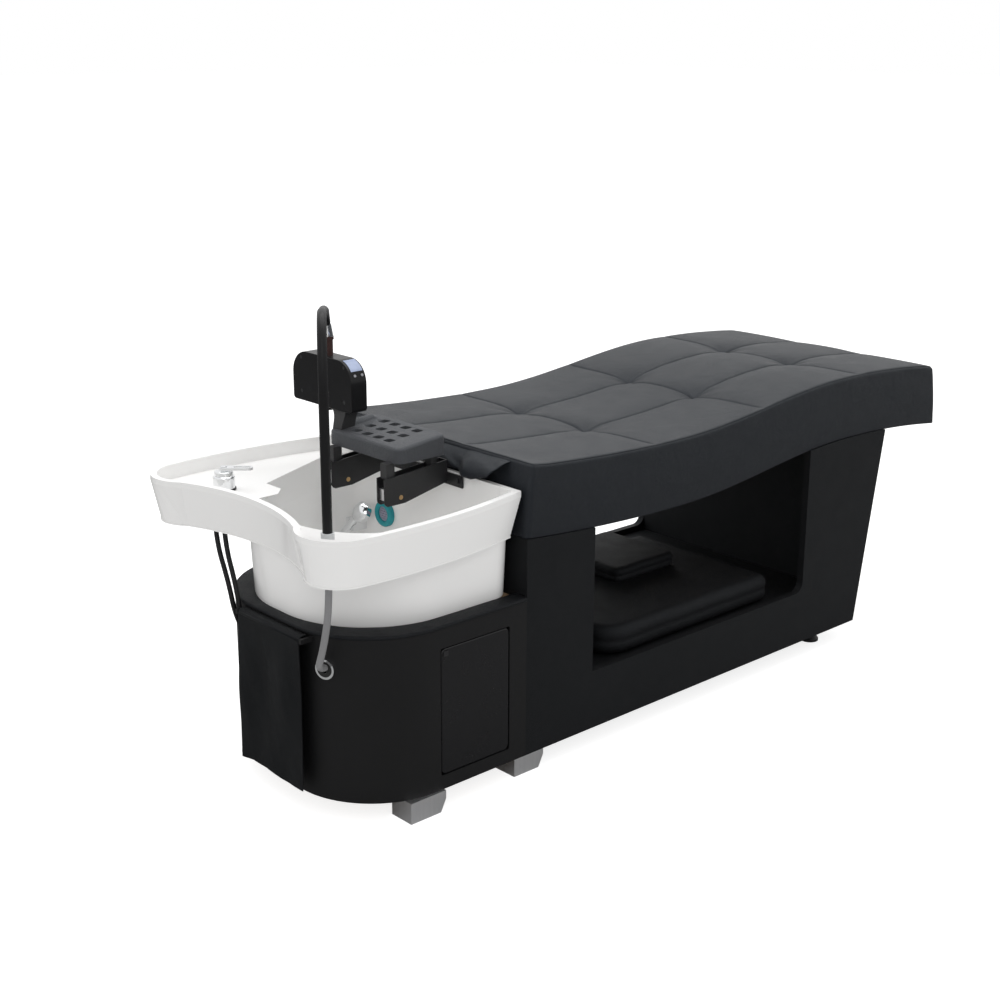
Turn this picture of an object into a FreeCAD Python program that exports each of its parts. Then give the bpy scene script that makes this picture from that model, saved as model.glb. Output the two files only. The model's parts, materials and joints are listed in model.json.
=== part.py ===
import FreeCAD, Part
import math
import os
import re
import Sketcher
from FreeCAD import Placement, Rotation, Vector

# Hair washing bed, sizes in millimetres.
# X runs from the basin to the foot of the bed, Y across, Z up from the floor.
# Lengths along X are counted from the joint between the cabinet and the bed.

SIZES = [
    # whole bed
    ("basin_reach", 509),
    ("bed_reach", 1489),
    ("bed_width", 660),
    ("panel_thick", 18),
    ("foot_high", 46),
    ("seat_gap", 0.3),
    ("overrun", 40),
    # wave of the lying surface
    ("dip_at", 480),
    ("crest_at", 1085),
    ("dip_top", 662),
    ("head_rise", 26),
    ("crest_rise", 48),
    ("end_fall", 28),
    ("cushion_deep", 157),
    ("board_thick", 18),
    ("skirt_thick", 8),
    ("head_lean", 16),
    ("foot_lean", 26),
    ("end_round", 14),
    ("shoulder", 34),
    ("side_bulge", 4),
    ("crown", 9),
    ("crease", 7),
    ("crease_at", 108),
    # panels
    ("panel_end_low", 1179),
    ("panel_end_high", 1262),
    ("bay_head", 200),
    ("bay_foot", 949),
    ("bay_low", 182),
    ("bay_corner", 27),
    ("bay_inner_foot", 1065),
    ("floor_top", 165),
    ("rail_wide", 66),
    ("rail_high", 44),
    ("bearer_thick", 30),
    ("bearer_first", 230),
    ("bearer_step", 260),
    # loose pads in the storage bay
    ("pad_head", 292),
    ("pad_foot", 874),
    ("pad_near", 285),
    ("pad_far", 150),
    ("pad_high", 71),
    ("pad_corner", 70),
    ("pad_edge", 22),
    ("top_pad_head", 530),
    ("top_pad_foot", 742),
    ("top_pad_near", 90),
    ("top_pad_far", 146),
    ("top_pad_high", 39),
    # feet
    ("head_foot_from", -320),
    ("head_foot_to", -228),
    ("head_foot_side", 336),
    ("head_foot_far_side", 200),
    ("middle_foot_from", -25),
    ("middle_foot_to", 60),
    ("middle_foot_side", 322),
    ("foot_deep", 62),
    ("foot_taper", 14),
    ("level_at", 1080),
    ("level_side", 266),
    ("level_radius", 24),
    ("level_neck", 11),
    ("stem_radius", 5),
    ("stem_top", 84),
    ("running_fit", 0.06),
    # cabinet
    ("cabinet_reach", 443),
    ("cabinet_corner", 195),
    ("cabinet_far_head", 156),
    ("slant_miter", 0.68),
    ("cabinet_wall", 12),
    ("cabinet_top", 397),
    ("ring_high", 8),
    ("ring_lap", 2),
    ("ring_round", 5),
    ("door_head", 235),
    ("door_foot", 48),
    ("door_low", 77),
    ("door_high", 355),
    ("door_gap", 2),
    ("door_corner", 12),
    ("opening_corner", 5),
    ("hinge_in", 5),
    ("hinge_side", 8),
    ("hinge_pin", 2.5),
    ("hinge_pin_long", 26),
    ("catch_wide", 14),
    ("service_near", 130),
    ("service_far", 84),
    ("service_deep", 48),
    ("service_low", 90),
    ("service_high", 373),
    ("apron_near", 175),
    ("apron_far", 36),
    ("apron_spread", 48),
    ("apron_low", 56),
    ("apron_rod_at", 461.5),
    ("apron_rod_high", 388),
    ("apron_rod_radius", 2),
    ("apron_thick", 2),
    ("apron_fold", 9),
    ("rod_over", 9),
    ("grommet_radius", 21),
    # basin
    ("rim_top", 632),
    ("rim_flare", 347),
    ("skirt_high", 100),
    ("skirt_inset", 18),
    ("lip_wide", 14),
    ("deck_top", 600),
    ("bowl_half", 300),
    ("bowl_head", 422),
    ("bowl_bed", 5),
    ("bowl_corner", 205),
    ("bowl_far_head", 123),
    ("neck_half", 292),
    ("neck_head", 422),
    ("neck_far_head", 118),
    ("neck_high", 405),
    ("base_half", 200),
    ("base_head", 360),
    ("base_far_head", 85),
    ("base_bed", 50),
    ("base_high", 338),
    ("bowl_wall", 9),
    ("deck_near", 88),
    ("deck_foot", 296),
    ("grommet_high", 330),
    ("grommet_neck", 13),
    ("door_edge", 3),
    ("pull_proud", 1.5),
    ("neck_corner", 217),
    ("base_corner", 100),
    ("base_bed_corner", 90),
    ("bowl_bed_corner", 48),
    ("apron_drift", 8),
    ("deck_slope", 26),
    ("deck_deep", 60),
    ("deck_slide", 104),
    ("rim_fall", 12),
    ("bead", 1.6),
    # headrest
    ("plate_head", 166),
    ("plate_foot", 34),
    ("plate_half", 120),
    ("plate_low", 676),
    ("plate_head_top", 708),
    ("plate_foot_top", 722),
    ("plate_corner", 18),
    ("plate_edge", 8),
    ("plate_wall", 12),
    ("slot_long", 17),
    ("slot_wide", 14),
    ("slot_step", 37),
    ("slot_middle", -100),
    ("cheek_high", 9),
    ("cheek_wide", 26),
    ("arm_side", 90),
    ("arm_wide", 26),
    ("arm_wall", 2.5),
    ("arm_head", 190),
    ("arm_foot", 20),
    ("arm_top", 645),
    ("arm_foot_top", 658),
    ("arm_low", 586),
    ("arm_foot_low", 610),
    ("arm_round", 11),
    ("pin_at", -147),
    ("pin_high", 600),
    ("pin_radius", 5),
    ("leg_wide", 20),
    ("leg_head", 182),
    ("leg_foot", 160),
    ("rear_leg_head", 62),
    ("rear_leg_foot", 47),
    ("mount_half", 150),
    ("mount_low", 604),
    ("mount_high", 630),
    ("mount_thick", 4),
    ("bolt_radius", 3),
    ("screw_radius", 4.2),
    # hood
    ("hood_head", 150),
    ("hood_foot", 108),
    ("hood_near", 54),
    ("hood_far", 265),
    ("hood_low", 748),
    ("hood_high", 858),
    ("hood_round", 50),
    ("hood_low_round", 8),
    ("hood_wall", 3),
    ("cover_thick", 4),
    ("display_proud", 0.8),
    ("display_in", 5),
    ("button_radius", 3),
    ("button_proud", 1.5),
    ("button_deep", 7),
    ("stem_at", -131),
    ("stem_side", 158),
    ("inlet_radius", 10.5),
    ("inlet_high", 34),
    ("collar_radius", 12.5),
    ("collar_high", 7),
    ("nut_radius", 12),
    ("nut_top_radius", 9.8),
    # water fittings
    ("riser_at", -458),
    ("riser_side", -271),
    ("riser_radius", 9.5),
    ("riser_top", 900),
    ("riser_ring_radius", 13),
    ("hose_radius", 9.2),
    ("lower_radius", 7),
    ("supply_radius", 5.25),
    ("faucet_at", -387),
    ("faucet_side", 190),
    ("faucet_radius", 23),
    ("faucet_high", 28),
    ("gasket_radius", 25),
    ("gasket_high", 4),
    ("cap_radius", 20),
    ("cap_high", 9),
    ("lever_reach", 62),
    ("lever_wide", 22),
    ("lever_thick", 5),
    ("strainer_side", 117),
    ("strainer_high", 486),
    ("strainer_radius", 30),
    ("strainer_inner", 17),
    ("strainer_deep", 12),
    ("spray_at", -48),
    ("spray_side", 168),
    ("spray_high", 485),
    ("spray_radius", 24),
    ("handle_radius", 9),
    ("handle_end_side", 238),
    ("handle_end_high", 408),
    ("drain_at", -200),
    ("drain_radius", 26),
    ("waste_radius", 20),
    ("waste_low", 30),
    ("outlet_radius", 8),
    ("lead_long", 34),
    ("motor_radius", 42),
    ("motor_high", 60),
    ("pump_high", 86),
    ("loop_high", 1036),
    ("stub_radius", 7.5),
    ("valve_long", 30),
    ("valve_wide", 44),
    ("valve_deep", 30),
    ("stub_step", 22),
    ("hose_drop", 84),
    ("belly_head", 2),
    ("belly_near", 30),
    ("belly_high", 66),
    ("pipe_below", 3),
    ("ring_proud", 1),
    ("shank_below", 8),
    ("lug_cover", 1.5),
    ("port_long", 28),
    ("tank_head", 225),
    ("tank_foot", 62),
    ("tank_near", 40),
    ("tank_far", 215),
    ("tank_high", 220),
    ("tank_round", 18),
    ("nut_head", 9),
    ("nut_near", 8),
    ("nut_high", 29),
    ("screw_near_in", 27),
    ("screw_far_in", 31),
    ("screw_low_in", 21),
    ("screw_top_in", 14),
    ("display_step", 2),
    ("button_first", 6),
    ("button_step", 19),
    ("handle_lean", 4),
    ("holder_wall", 5),
    ("holder_front", 2),
    ("face_thick", 2),
    ("drain_deep", 30),
    ("drain_lip", 4),
    ("drain_lap", 5),
    ("plug_deep", 6),
    ("drain_hole", 2.2),
    ("strainer_land", 3),
    ("grille_slot", 2),
    ("leg_lift", 1),
    ("cheek_sink", 1),
    ("waste_room", 1),
    ("pick_room", 1),
    ("lever_pin", 2),
    ("flap_half", 283),
    ("flap_top", 674),
    ("flap_drop", 36),
    ("flap_wave", 4),
    ("flap_out", 14),
    ("flap_thick", 3),
]

doc = FreeCAD.newDocument("hair_washing_bed")
sheet = doc.addObject("Spreadsheet::Sheet", "Sizes")
for row, (name, amount) in enumerate(SIZES, 1):
    sheet.set(f"A{row}", name)
    sheet.set(f"B{row}", str(amount))
    sheet.setAlias(f"B{row}", name)
doc.recompute()

JOINT = "(Sizes.basin_reach - Sizes.bed_reach) / 2"
made_parts = []


def bound(text):
    return re.sub(r"\b([a-z]\w*)\b", r"Sizes.\1", str(text))


def keep(part):
    part.Label = part.Name
    made_parts.append(part)
    return part


# Sketched bodies
def new_body(label):
    part = doc.addObject("PartDesign::Body", label)
    part.setExpression("Placement.Base.x", JOINT)
    return keep(part)


def sketch_on(part, role, corners, offset="0"):
    plane = next(one for one in part.Origin.OriginFeatures if one.Role == role)
    sketch = part.newObject("Sketcher::SketchObject", part.Name + "_outline")
    sketch.AttachmentSupport = [(plane, "")]
    sketch.MapMode = "FlatFace"
    sketch.setExpression("AttachmentOffset.Base.z", bound(offset))
    count = len(corners)
    turn = 2 * math.pi / count
    spots = [Vector(math.cos(turn * step), math.sin(turn * step), 0) for step in range(count)]
    for step in range(count):
        sketch.addGeometry(Part.LineSegment(spots[step - 1], spots[step]))
    for step in range(count):
        sketch.addConstraint(Sketcher.Constraint("Coincident", step - 1 if step else count - 1, 2, step, 1))
    for step, corner in enumerate(corners):
        for kind, text in zip(("DistanceX", "DistanceY"), corner):
            held = sketch.addConstraint(Sketcher.Constraint(kind, -1, 1, step, 1, 0.0))
            sketch.setExpression(f"Constraints[{held}]", bound(text))
    return sketch


def circle_on(part, role, across, up, radius, offset="0"):
    plane = next(one for one in part.Origin.OriginFeatures if one.Role == role)
    sketch = part.newObject("Sketcher::SketchObject", part.Name + "_circle")
    sketch.AttachmentSupport = [(plane, "")]
    sketch.MapMode = "FlatFace"
    sketch.setExpression("AttachmentOffset.Base.z", bound(offset))
    sketch.addGeometry(Part.Circle(Vector(0, 0, 0), Vector(0, 0, 1), 1))
    for kind, text in (("DistanceX", across), ("DistanceY", up)):
        held = sketch.addConstraint(Sketcher.Constraint(kind, -1, 1, 0, 3, 0.0))
        sketch.setExpression(f"Constraints[{held}]", bound(text))
    held = sketch.addConstraint(Sketcher.Constraint("Radius", 0, 1.0))
    sketch.setExpression(f"Constraints[{held}]", bound(radius))
    return sketch


def pad(part, profile, length, middle=False, back=False):
    feature = part.newObject("PartDesign::Pad", part.Name + "_pad")
    feature.Profile = profile
    feature.setExpression("Length", bound(length))
    feature.Midplane = middle
    feature.Reversed = back
    doc.recompute()
    return feature


def pocket(part, profile, length, middle=False, back=False):
    feature = part.newObject("PartDesign::Pocket", part.Name + "_pocket")
    feature.Profile = profile
    feature.setExpression("Length", bound(length))
    feature.Midplane = middle
    feature.Reversed = back
    doc.recompute()
    return feature


def turned(part, profile, axis):
    feature = part.newObject("PartDesign::Revolution", part.Name + "_turned")
    feature.Profile = profile
    feature.ReferenceAxis = (profile, [axis])
    feature.Angle = 360
    doc.recompute()
    return feature


def picked(feature, test):
    return [f"Edge{number}" for number, edge in enumerate(feature.Shape.Edges, 1) if test(edge)]


def rounded(part, feature, test, radius, kind="Fillet"):
    edges = picked(feature, test)
    made = part.newObject("PartDesign::" + kind, part.Name + "_" + kind.lower())
    made.Base = (feature, edges)
    made.setExpression("Radius" if kind == "Fillet" else "Size", bound(radius))
    doc.recompute()
    return made


def runs(edge, axis):
    box = edge.BoundBox
    spans = (box.XLength, box.YLength, box.ZLength)
    rest = [span for place, span in enumerate(spans) if place != axis]
    return spans[axis] > sheet.running_fit and max(rest) < sheet.running_fit


# Plain blocks, rods and free shapes
def block(label, head, foot, near, far, low, high):
    part = doc.addObject("Part::Box", label)
    part.setExpression("Length", bound(f"({foot}) - ({head})"))
    part.setExpression("Width", bound(f"({far}) - ({near})"))
    part.setExpression("Height", bound(f"({high}) - ({low})"))
    part.setExpression("Placement.Base.x", f"{JOINT} + {bound(head)}")
    part.setExpression("Placement.Base.y", bound(near))
    part.setExpression("Placement.Base.z", bound(low))
    return part


def free(label, shape, at="0"):
    part = doc.addObject("Part::Feature", label)
    part.Shape = shape
    part.setExpression("Placement.Base.x", f"{JOINT} + {bound(at)}")
    return keep(part)


def cutter(name, shape):
    part = doc.addObject("Part::Feature", name)
    part.Shape = shape
    part.setExpression("Placement.Base.x", JOINT)
    return part


def line(start, stop):
    return Part.LineSegment(start, stop).toShape()


def arc(start, through, stop):
    return Part.Arc(start, through, stop).toShape()


def ring_of(points):
    return Part.Wire([line(points[step - 1], points[step]) for step in range(len(points))])


def slab(points, push):
    return Part.Face(ring_of(points)).extrude(push)


def brick(head, foot, near, far, low, high):
    return Part.makeBox(foot - head, far - near, high - low, Vector(head, near, low))


def rod(radius, start, stop):
    return Part.makeCylinder(radius, (stop - start).Length, start, stop - start)


def lofted(wires, ruled=False):
    solid = Part.makeLoft(wires, True, ruled)
    if solid.Volume < 0:
        solid.reverse()
    return solid


def softened(shape, radius, test):
    return shape.makeFillet(radius, [edge for edge in shape.Edges if test(edge)])


# Wave of the bed
def wave_top(at):
    if at < sheet.dip_at:
        share = 1 - at / sheet.dip_at
        return sheet.dip_top + sheet.head_rise * share ** 2
    if at < sheet.crest_at:
        share = (at - sheet.dip_at) / (sheet.crest_at - sheet.dip_at)
        return sheet.dip_top + sheet.crest_rise * (1 - math.cos(math.pi * share)) / 2
    share = (at - sheet.crest_at) / (sheet.bed_reach - sheet.crest_at)
    return sheet.dip_top + sheet.crest_rise - sheet.end_fall * share ** 2


def wave_low(at):
    return wave_top(at) - sheet.cushion_deep


def stations():
    reach = sheet.bed_reach
    seams = [0] + [reach * share for share in seam_shares] + [reach]
    places = [start + (stop - start) * share for start, stop in zip(seams, seams[1:]) for share in row_shares[:-1]]
    places.append(reach)
    places[1] = sheet.end_round
    places[-2] = reach - sheet.end_round
    return places


def rest_high(at):
    places = stations()
    place = next(step for step in range(1, len(places)) if places[step] >= at)
    before, after = places[place - 1], places[place]
    share = (at - before) / (after - before)
    return wave_low(before) * (1 - share) + wave_low(after) * share


def wave_spots(start, stop, side, lift):
    places = [start] + [at for at in stations() if start < at < stop] + [stop]
    return [Vector(at, side, rest_high(at) + lift) for at in places]


def wall(lows, highs, low, near, far):
    start, stop = lows
    top = wave_spots(*highs, near, 0)
    corners = [Vector(stop, near, low), Vector(start, near, low)]
    return slab(top + corners, Vector(0, far - near, 0))


def side_panel(label, near, bay_foot):
    far = near + sheet.panel_thick
    shape = wall((0, sheet.panel_end_low), (0, sheet.panel_end_high), sheet.foot_high, near, far)
    bay = brick(sheet.bay_head, bay_foot, near - sheet.overrun, far + sheet.overrun,
                sheet.bay_low, sheet.rim_top)
    bay = softened(bay, sheet.bay_corner,
                   lambda edge: runs(edge, 1) and edge.BoundBox.XMin > sheet.bay_head
                   and edge.BoundBox.ZMax < sheet.rim_top)
    return free(label, shape.cut(bay))


def bed_walls():
    half = sheet.bed_width / 2
    thick = sheet.panel_thick
    inner = half - thick
    side_panel("side_panel_near", -half, sheet.bay_foot)
    side_panel("side_panel_far", inner, sheet.bay_inner_foot)
    free("head_panel", wall((0, thick), (0, thick), sheet.foot_high, -inner, inner))
    low, high = sheet.panel_end_low, sheet.panel_end_high
    free("foot_panel", wall((low - thick, low), (high - thick, high), sheet.foot_high, -inner, inner))
    head, foot = sheet.bay_head, sheet.bay_inner_foot
    walls = [wall((start, start + thick), (start, start + thick), sheet.floor_top, -inner, inner)
             for start in (head - thick, foot)]
    free("storage_walls", Part.makeCompound(walls))
    keep(block("storage_floor", "bay_head - panel_thick", "bay_inner_foot + panel_thick",
               "panel_thick - bed_width / 2", "bed_width / 2 - panel_thick",
               "floor_top - panel_thick", "floor_top"))


def wave_board():
    start, stop = sheet.skirt_thick, sheet.bed_reach - sheet.skirt_thick - sheet.end_round
    half = sheet.bed_width / 2 - sheet.skirt_thick
    low = wave_spots(start, stop, -half, 0)
    top = wave_spots(start, stop, -half, sheet.board_thick)
    return slab(low + top[::-1], Vector(0, 2 * half, 0))


def cushion_section(at, lean, drop, fullness):
    low = wave_low(at)
    top = wave_top(at) - drop
    half = sheet.bed_width / 2 - sheet.side_bulge - drop / 2
    swell = sheet.crown * max(fullness, seam_full)
    sink = sheet.crease * crease_share * (2 - fullness)
    shoulder = sheet.shoulder
    bend = shoulder * (1 - math.sqrt(1 / 2))
    crease_at = sheet.crease_at
    outer = half - shoulder
    between = (outer + crease_at) / 2
    spots = [
        (half, low),
        (half + sheet.side_bulge, (low + top) / 2),
        (half, top - shoulder),
        (half - bend, top - bend),
        (outer, top),
        (between, top + swell * outer_share - sink * (1 - fullness)),
        (crease_at, top - sink),
        (0, top + swell - sink * (1 - fullness)),
    ]
    spots = spots + [(-side, up) for side, up in reversed(spots[:-1])]
    points = [Vector(at + lean * (up - low) / sheet.cushion_deep, side, up) for side, up in spots]
    edges = [arc(*points[step:step + 3]) for step in range(0, len(points) - 2, 2)]
    edges.append(line(points[-1], points[0]))
    return Part.Wire(edges)


def cushion(board):
    fullness = [share for seam in range(len(seam_shares) + 1) for share in row_fullness_shares[:-1]] + [0]
    sections = [[at, 0, 0, full] for at, full in zip(stations(), fullness)]
    for end, lean, inward in ((0, sheet.head_lean, 1), (-1, -sheet.foot_lean, -1)):
        sections[end][1:3] = [lean, sheet.end_round]
        sections[end + inward][1] = lean
        sections[end + 2 * inward][1] = lean * lean_share
    return lofted([cushion_section(*one) for one in sections], True).cut(board)


def bed_frame():
    inner = "bed_width / 2 - panel_thick"
    rails = []
    for name, near, far in (("near_rail", f"-({inner})", f"rail_wide - ({inner})"),
                            ("far_rail", f"{inner} - rail_wide", inner)):
        rails.append(block(name, "panel_thick", "panel_end_low - panel_thick", near, far,
                           "foot_high", "foot_high + rail_high"))
    bores = []
    for name, side in (("near_bore", "-level_side"), ("far_bore", "level_side")):
        bore = doc.addObject("Part::Cylinder", name)
        bore.setExpression("Radius", bound("stem_radius + running_fit"))
        bore.setExpression("Height", bound("rail_high + 2 * overrun"))
        bore.setExpression("Placement.Base.x", f"{JOINT} + {bound('level_at')}")
        bore.setExpression("Placement.Base.y", bound(side))
        bore.setExpression("Placement.Base.z", bound("foot_high - overrun"))
        bores.append(bore)
    bars = []
    for name, rail, bore in zip(("drilled_rail_near", "drilled_rail_far"), rails, bores):
        drilled = doc.addObject("Part::Cut", name)
        drilled.Base = rail
        drilled.Tool = bore
        bars.append(drilled)
    for step in range(bearer_count):
        start = f"bearer_first + {step} * bearer_step"
        bars.append(block(f"bearer_{step}", start, f"{start} + bearer_thick", f"-({inner})", inner,
                          "foot_high + rail_high", "floor_top - panel_thick"))
    joined = doc.addObject("Part::Compound", "base_frame")
    joined.Links = bars
    keep(joined)


def soft_pad(label, head, foot, near, far, low, high, corner):
    part = new_body(label)
    profile = sketch_on(part, "XY_Plane", [(head, near), (foot, near), (foot, far), (head, far)], low)
    feature = pad(part, profile, high)
    head_line = feature.Shape.BoundBox.XMin
    near_line = feature.Shape.BoundBox.YMin
    feature = rounded(part, feature,
                      lambda edge: runs(edge, 2) and edge.BoundBox.XMin < head_line + sheet.pick_room
                      and edge.BoundBox.YMin < near_line + sheet.pick_room, corner)
    rounded(part, feature, lambda edge: not runs(edge, 2), "pad_edge" if high == "pad_high" else "pad_edge / 2")


def block_foot(label, head, foot, side):
    part = new_body(label)
    corners = [(head, "0"), (f"{foot} - foot_taper", "0"), (foot, "foot_taper * 2"),
               (foot, "foot_high"), (head, "foot_high")]
    profile = sketch_on(part, "XZ_Plane", corners, f"{side} - foot_deep")
    pad(part, profile, "foot_deep")


def foot_pair(label, head, foot, near_side, far_side):
    block_foot(label + "_near", head, foot, near_side)
    near = made_parts.pop()
    block_foot(label + "_blank", head, foot, far_side)
    far = doc.addObject("Part::Mirroring", label + "_far")
    far.Source = made_parts.pop()
    far.Normal = Vector(0, 1, 0)
    return [near, far]


def levelling_foot(label, side):
    part = new_body(label)
    radius, neck, stem = "level_radius", "level_neck", "stem_radius"
    corners = [("0", "0"), (radius, "0"), (radius, "foot_high / 8"), (neck, "foot_high / 2"),
               (neck, "foot_high * 0.85"), (stem, "foot_high * 0.85"), (stem, "stem_top"), ("0", "stem_top")]
    turned(part, sketch_on(part, "XZ_Plane", corners), "V_Axis")
    part.setExpression("Placement.Base.x", f"{JOINT} + {bound('level_at')}")
    part.setExpression("Placement.Base.y", bound(side))


bearer_count = 4
seam_shares = (0.262, 0.514, 0.764)
crease_share = 0.6
outer_share = 0.75
row_shares = (0, 0.035, 0.1, 0.25, 0.5, 0.75, 0.9, 0.965, 1)
row_fullness_shares = (0, 0.35, 0.65, 0.92, 1, 0.92, 0.65, 0.35, 0)
seam_full = 0.15
lean_share = 0.5

board = wave_board()
bed_walls()
free("wave_board", board)
free("cushion", cushion(board))
bed_frame()
soft_pad("storage_pad", "pad_head", "pad_foot", "-pad_near", "pad_far", "floor_top", "pad_high", "pad_corner")
soft_pad("storage_pad_small", "top_pad_head", "top_pad_foot", "-top_pad_near", "top_pad_far",
         "floor_top + pad_high", "top_pad_high", "pad_edge")
feet = doc.addObject("Part::Compound", "block_feet")
feet.Links = (foot_pair("head_foot", "head_foot_from", "head_foot_to", "head_foot_side", "head_foot_far_side")
              + foot_pair("middle_foot", "middle_foot_from", "middle_foot_to", "middle_foot_side", "middle_foot_side"))
keep(feet)
levelling_foot("levelling_foot_near", "-level_side")
levelling_foot("levelling_foot_far", "level_side")


# Cabinet under the basin
def d_body(label, inset, low, high, foot="0"):
    part = new_body(label)
    reach, half = f"(cabinet_reach - {inset})", f"(bed_width / 2 - {inset})"
    far_head = f"(cabinet_far_head - slant_miter * {inset})"
    far_foot = f"{half} + {foot} * ({half} - {far_head}) / {reach}"
    corners = [(f"-{reach}", f"-{half}"), (foot, f"-{half}"), (foot, far_foot), (f"-{reach}", far_head)]
    feature = pad(part, sketch_on(part, "XY_Plane", corners, low), f"({high}) - ({low})")
    head_line = feature.Shape.BoundBox.XMin + sheet.pick_room
    rounded(part, feature, lambda edge: runs(edge, 2) and edge.BoundBox.XMin < head_line,
            f"cabinet_corner - {inset}")
    return part


def less(label, base, tool):
    cut = doc.addObject("Part::Cut", label)
    cut.Base = base
    cut.Tool = tool
    for used in (base, tool):
        if used in made_parts:
            made_parts.remove(used)
    return keep(cut)


def d_hole(label, inset, low, high):
    return d_body(label, inset, f"{low} - overrun", f"{high} + overrun", "overrun")


def grommet_spot():
    reach = sheet.cabinet_corner
    angle = math.radians(grommet_turn)
    facing = Vector(-math.cos(angle), -math.sin(angle), 0)
    centre = Vector(reach - sheet.cabinet_reach, reach - sheet.bed_width / 2, sheet.grommet_high)
    return centre + facing * reach, facing


def cabinet():
    part = d_body("shell_block", "0", "foot_high", "cabinet_top")
    opening = [("-door_head", "door_low"), ("-door_foot", "door_low"), ("-door_foot", "door_high"),
               ("-door_head", "door_high")]
    feature = pocket(part, sketch_on(part, "XZ_Plane", opening, "bed_width / 2"), "2 * cabinet_wall")
    rounded(part, feature, lambda edge: runs(edge, 1) and edge.BoundBox.XMax < -sheet.cabinet_wall
            and edge.BoundBox.XMin > -sheet.door_head - sheet.pick_room, "opening_corner")
    service = [("-service_near", "service_low"), ("service_far", "service_low"),
               ("service_far", "service_high"), ("-service_near", "service_high")]
    pocket(part, sketch_on(part, "YZ_Plane", service, "-cabinet_reach"), "service_deep", back=True)
    for high, back in (("door_high - door_corner", True), ("door_low + door_corner", False)):
        profile = circle_on(part, "XY_Plane", "-door_foot - hinge_side", "hinge_in - bed_width / 2",
                            "hinge_pin + running_fit", high)
        pocket(part, profile, "hinge_pin_long / 2 + door_corner", back=back)
    walls = less("shell_walls", part, d_hole("shell_space", "cabinet_wall", "foot_high", "cabinet_top"))
    spot, facing = grommet_spot()
    hole = doc.addObject("Part::Cylinder", "grommet_bore")
    hole.setExpression("Radius", bound("grommet_neck + running_fit"))
    hole.setExpression("Height", bound("2 * overrun"))
    shift = Vector((sheet.basin_reach - sheet.bed_reach) / 2, 0, 0)
    hole.Placement = Placement(spot + shift + facing * sheet.overrun, Rotation(Vector(0, 0, 1), -facing))
    less("cabinet_shell", walls, hole)
    d_body("floor_blank", "cabinet_wall", "foot_high", "foot_high + panel_thick")
    room = bowl_solid(-sheet.seat_gap, sheet.rim_top, sheet.base_high)
    top = d_body("top_blank", "cabinet_wall", "cabinet_top - cabinet_wall", "cabinet_top")
    less("cabinet_top_board", top, cutter("bowl_room", room))
    part = d_body("ring_blank", "(-ring_lap)", "cabinet_top", "cabinet_top + ring_high")
    top = part.Tip.Shape.BoundBox.ZMax - sheet.pick_room
    rounded(part, part.Tip, lambda edge: edge.BoundBox.ZMin > top and edge.BoundBox.XMax < -sheet.pick_room,
            "ring_round")
    less("padded_ring", part, cutter("neck_room", room))


def cabinet_door():
    part = new_body("door_panel")
    head, foot = "-(door_head - door_gap)", "-(door_foot + door_gap)"
    low, high = "door_low + door_gap", "door_high - door_gap"
    corners = [(head, low), (foot, low), (foot, high), (head, high)]
    feature = pad(part, sketch_on(part, "XZ_Plane", corners, "bed_width / 2"), "cabinet_wall", back=True)
    feature = rounded(part, feature, lambda edge: runs(edge, 1), "door_corner")
    near = feature.Shape.BoundBox.YMin
    rounded(part, feature, lambda edge: edge.BoundBox.YMax < near + sheet.pick_room, "door_edge")
    spot = Vector(-sheet.door_foot - sheet.hinge_side, sheet.hinge_in - sheet.bed_width / 2, 0)
    half = Vector(0, 0, (sheet.hinge_pin_long - 2 * sheet.door_gap) / 2)
    pins = []
    for high in (sheet.door_high - sheet.door_gap / 2, sheet.door_low + sheet.door_gap / 2):
        middle = spot + Vector(0, 0, high)
        pins.append(rod(sheet.hinge_pin, middle - half, middle + half))
    pinned = doc.addObject("Part::MultiFuse", "cabinet_door")
    made_parts.remove(part)
    pinned.Shapes = [part, cutter("door_pins", Part.makeCompound(pins))]
    keep(pinned)
    keep(block("door_pull", "-door_head + catch_wide / 2", "-door_head + 1.4 * catch_wide",
               "-bed_width / 2 - pull_proud", "-bed_width / 2",
               "door_high - 1.3 * catch_wide", "door_high - catch_wide / 2"))


def apron_section(share):
    high = sheet.apron_rod_high - (sheet.apron_rod_high - sheet.apron_low) * share
    depth = sheet.apron_fold * (fold_start_share + share * (1 - fold_start_share))
    base = -sheet.apron_rod_at + sheet.apron_drift * share
    far = sheet.apron_far + sheet.apron_spread * share
    middle, half = (far - sheet.apron_near) / 2, (far + sheet.apron_near) / 2
    nodes = [middle + half * (spot + fold_slant_share * share * (1 - spot ** 2)) for spot in fold_shares]
    front, back = [], []
    for place in range(len(nodes) - 1):
        start, stop = nodes[place], nodes[place + 1]
        bow = depth * (1 if place % 2 else -1) * fold_depth_shares[place]
        for side, drawn in ((0, front), (sheet.apron_thick, back)):
            at = base - sheet.apron_thick / 2 + side
            drawn.append((Vector(at, start, high), Vector(at + bow, (start + stop) / 2, high), Vector(at, stop, high)))
    edges = [arc(*one) for one in front]
    edges.append(line(front[-1][2], back[-1][2]))
    edges += [arc(*reversed(one)) for one in reversed(back)]
    edges.append(line(back[0][0], front[0][0]))
    return Part.Wire(edges)


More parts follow.
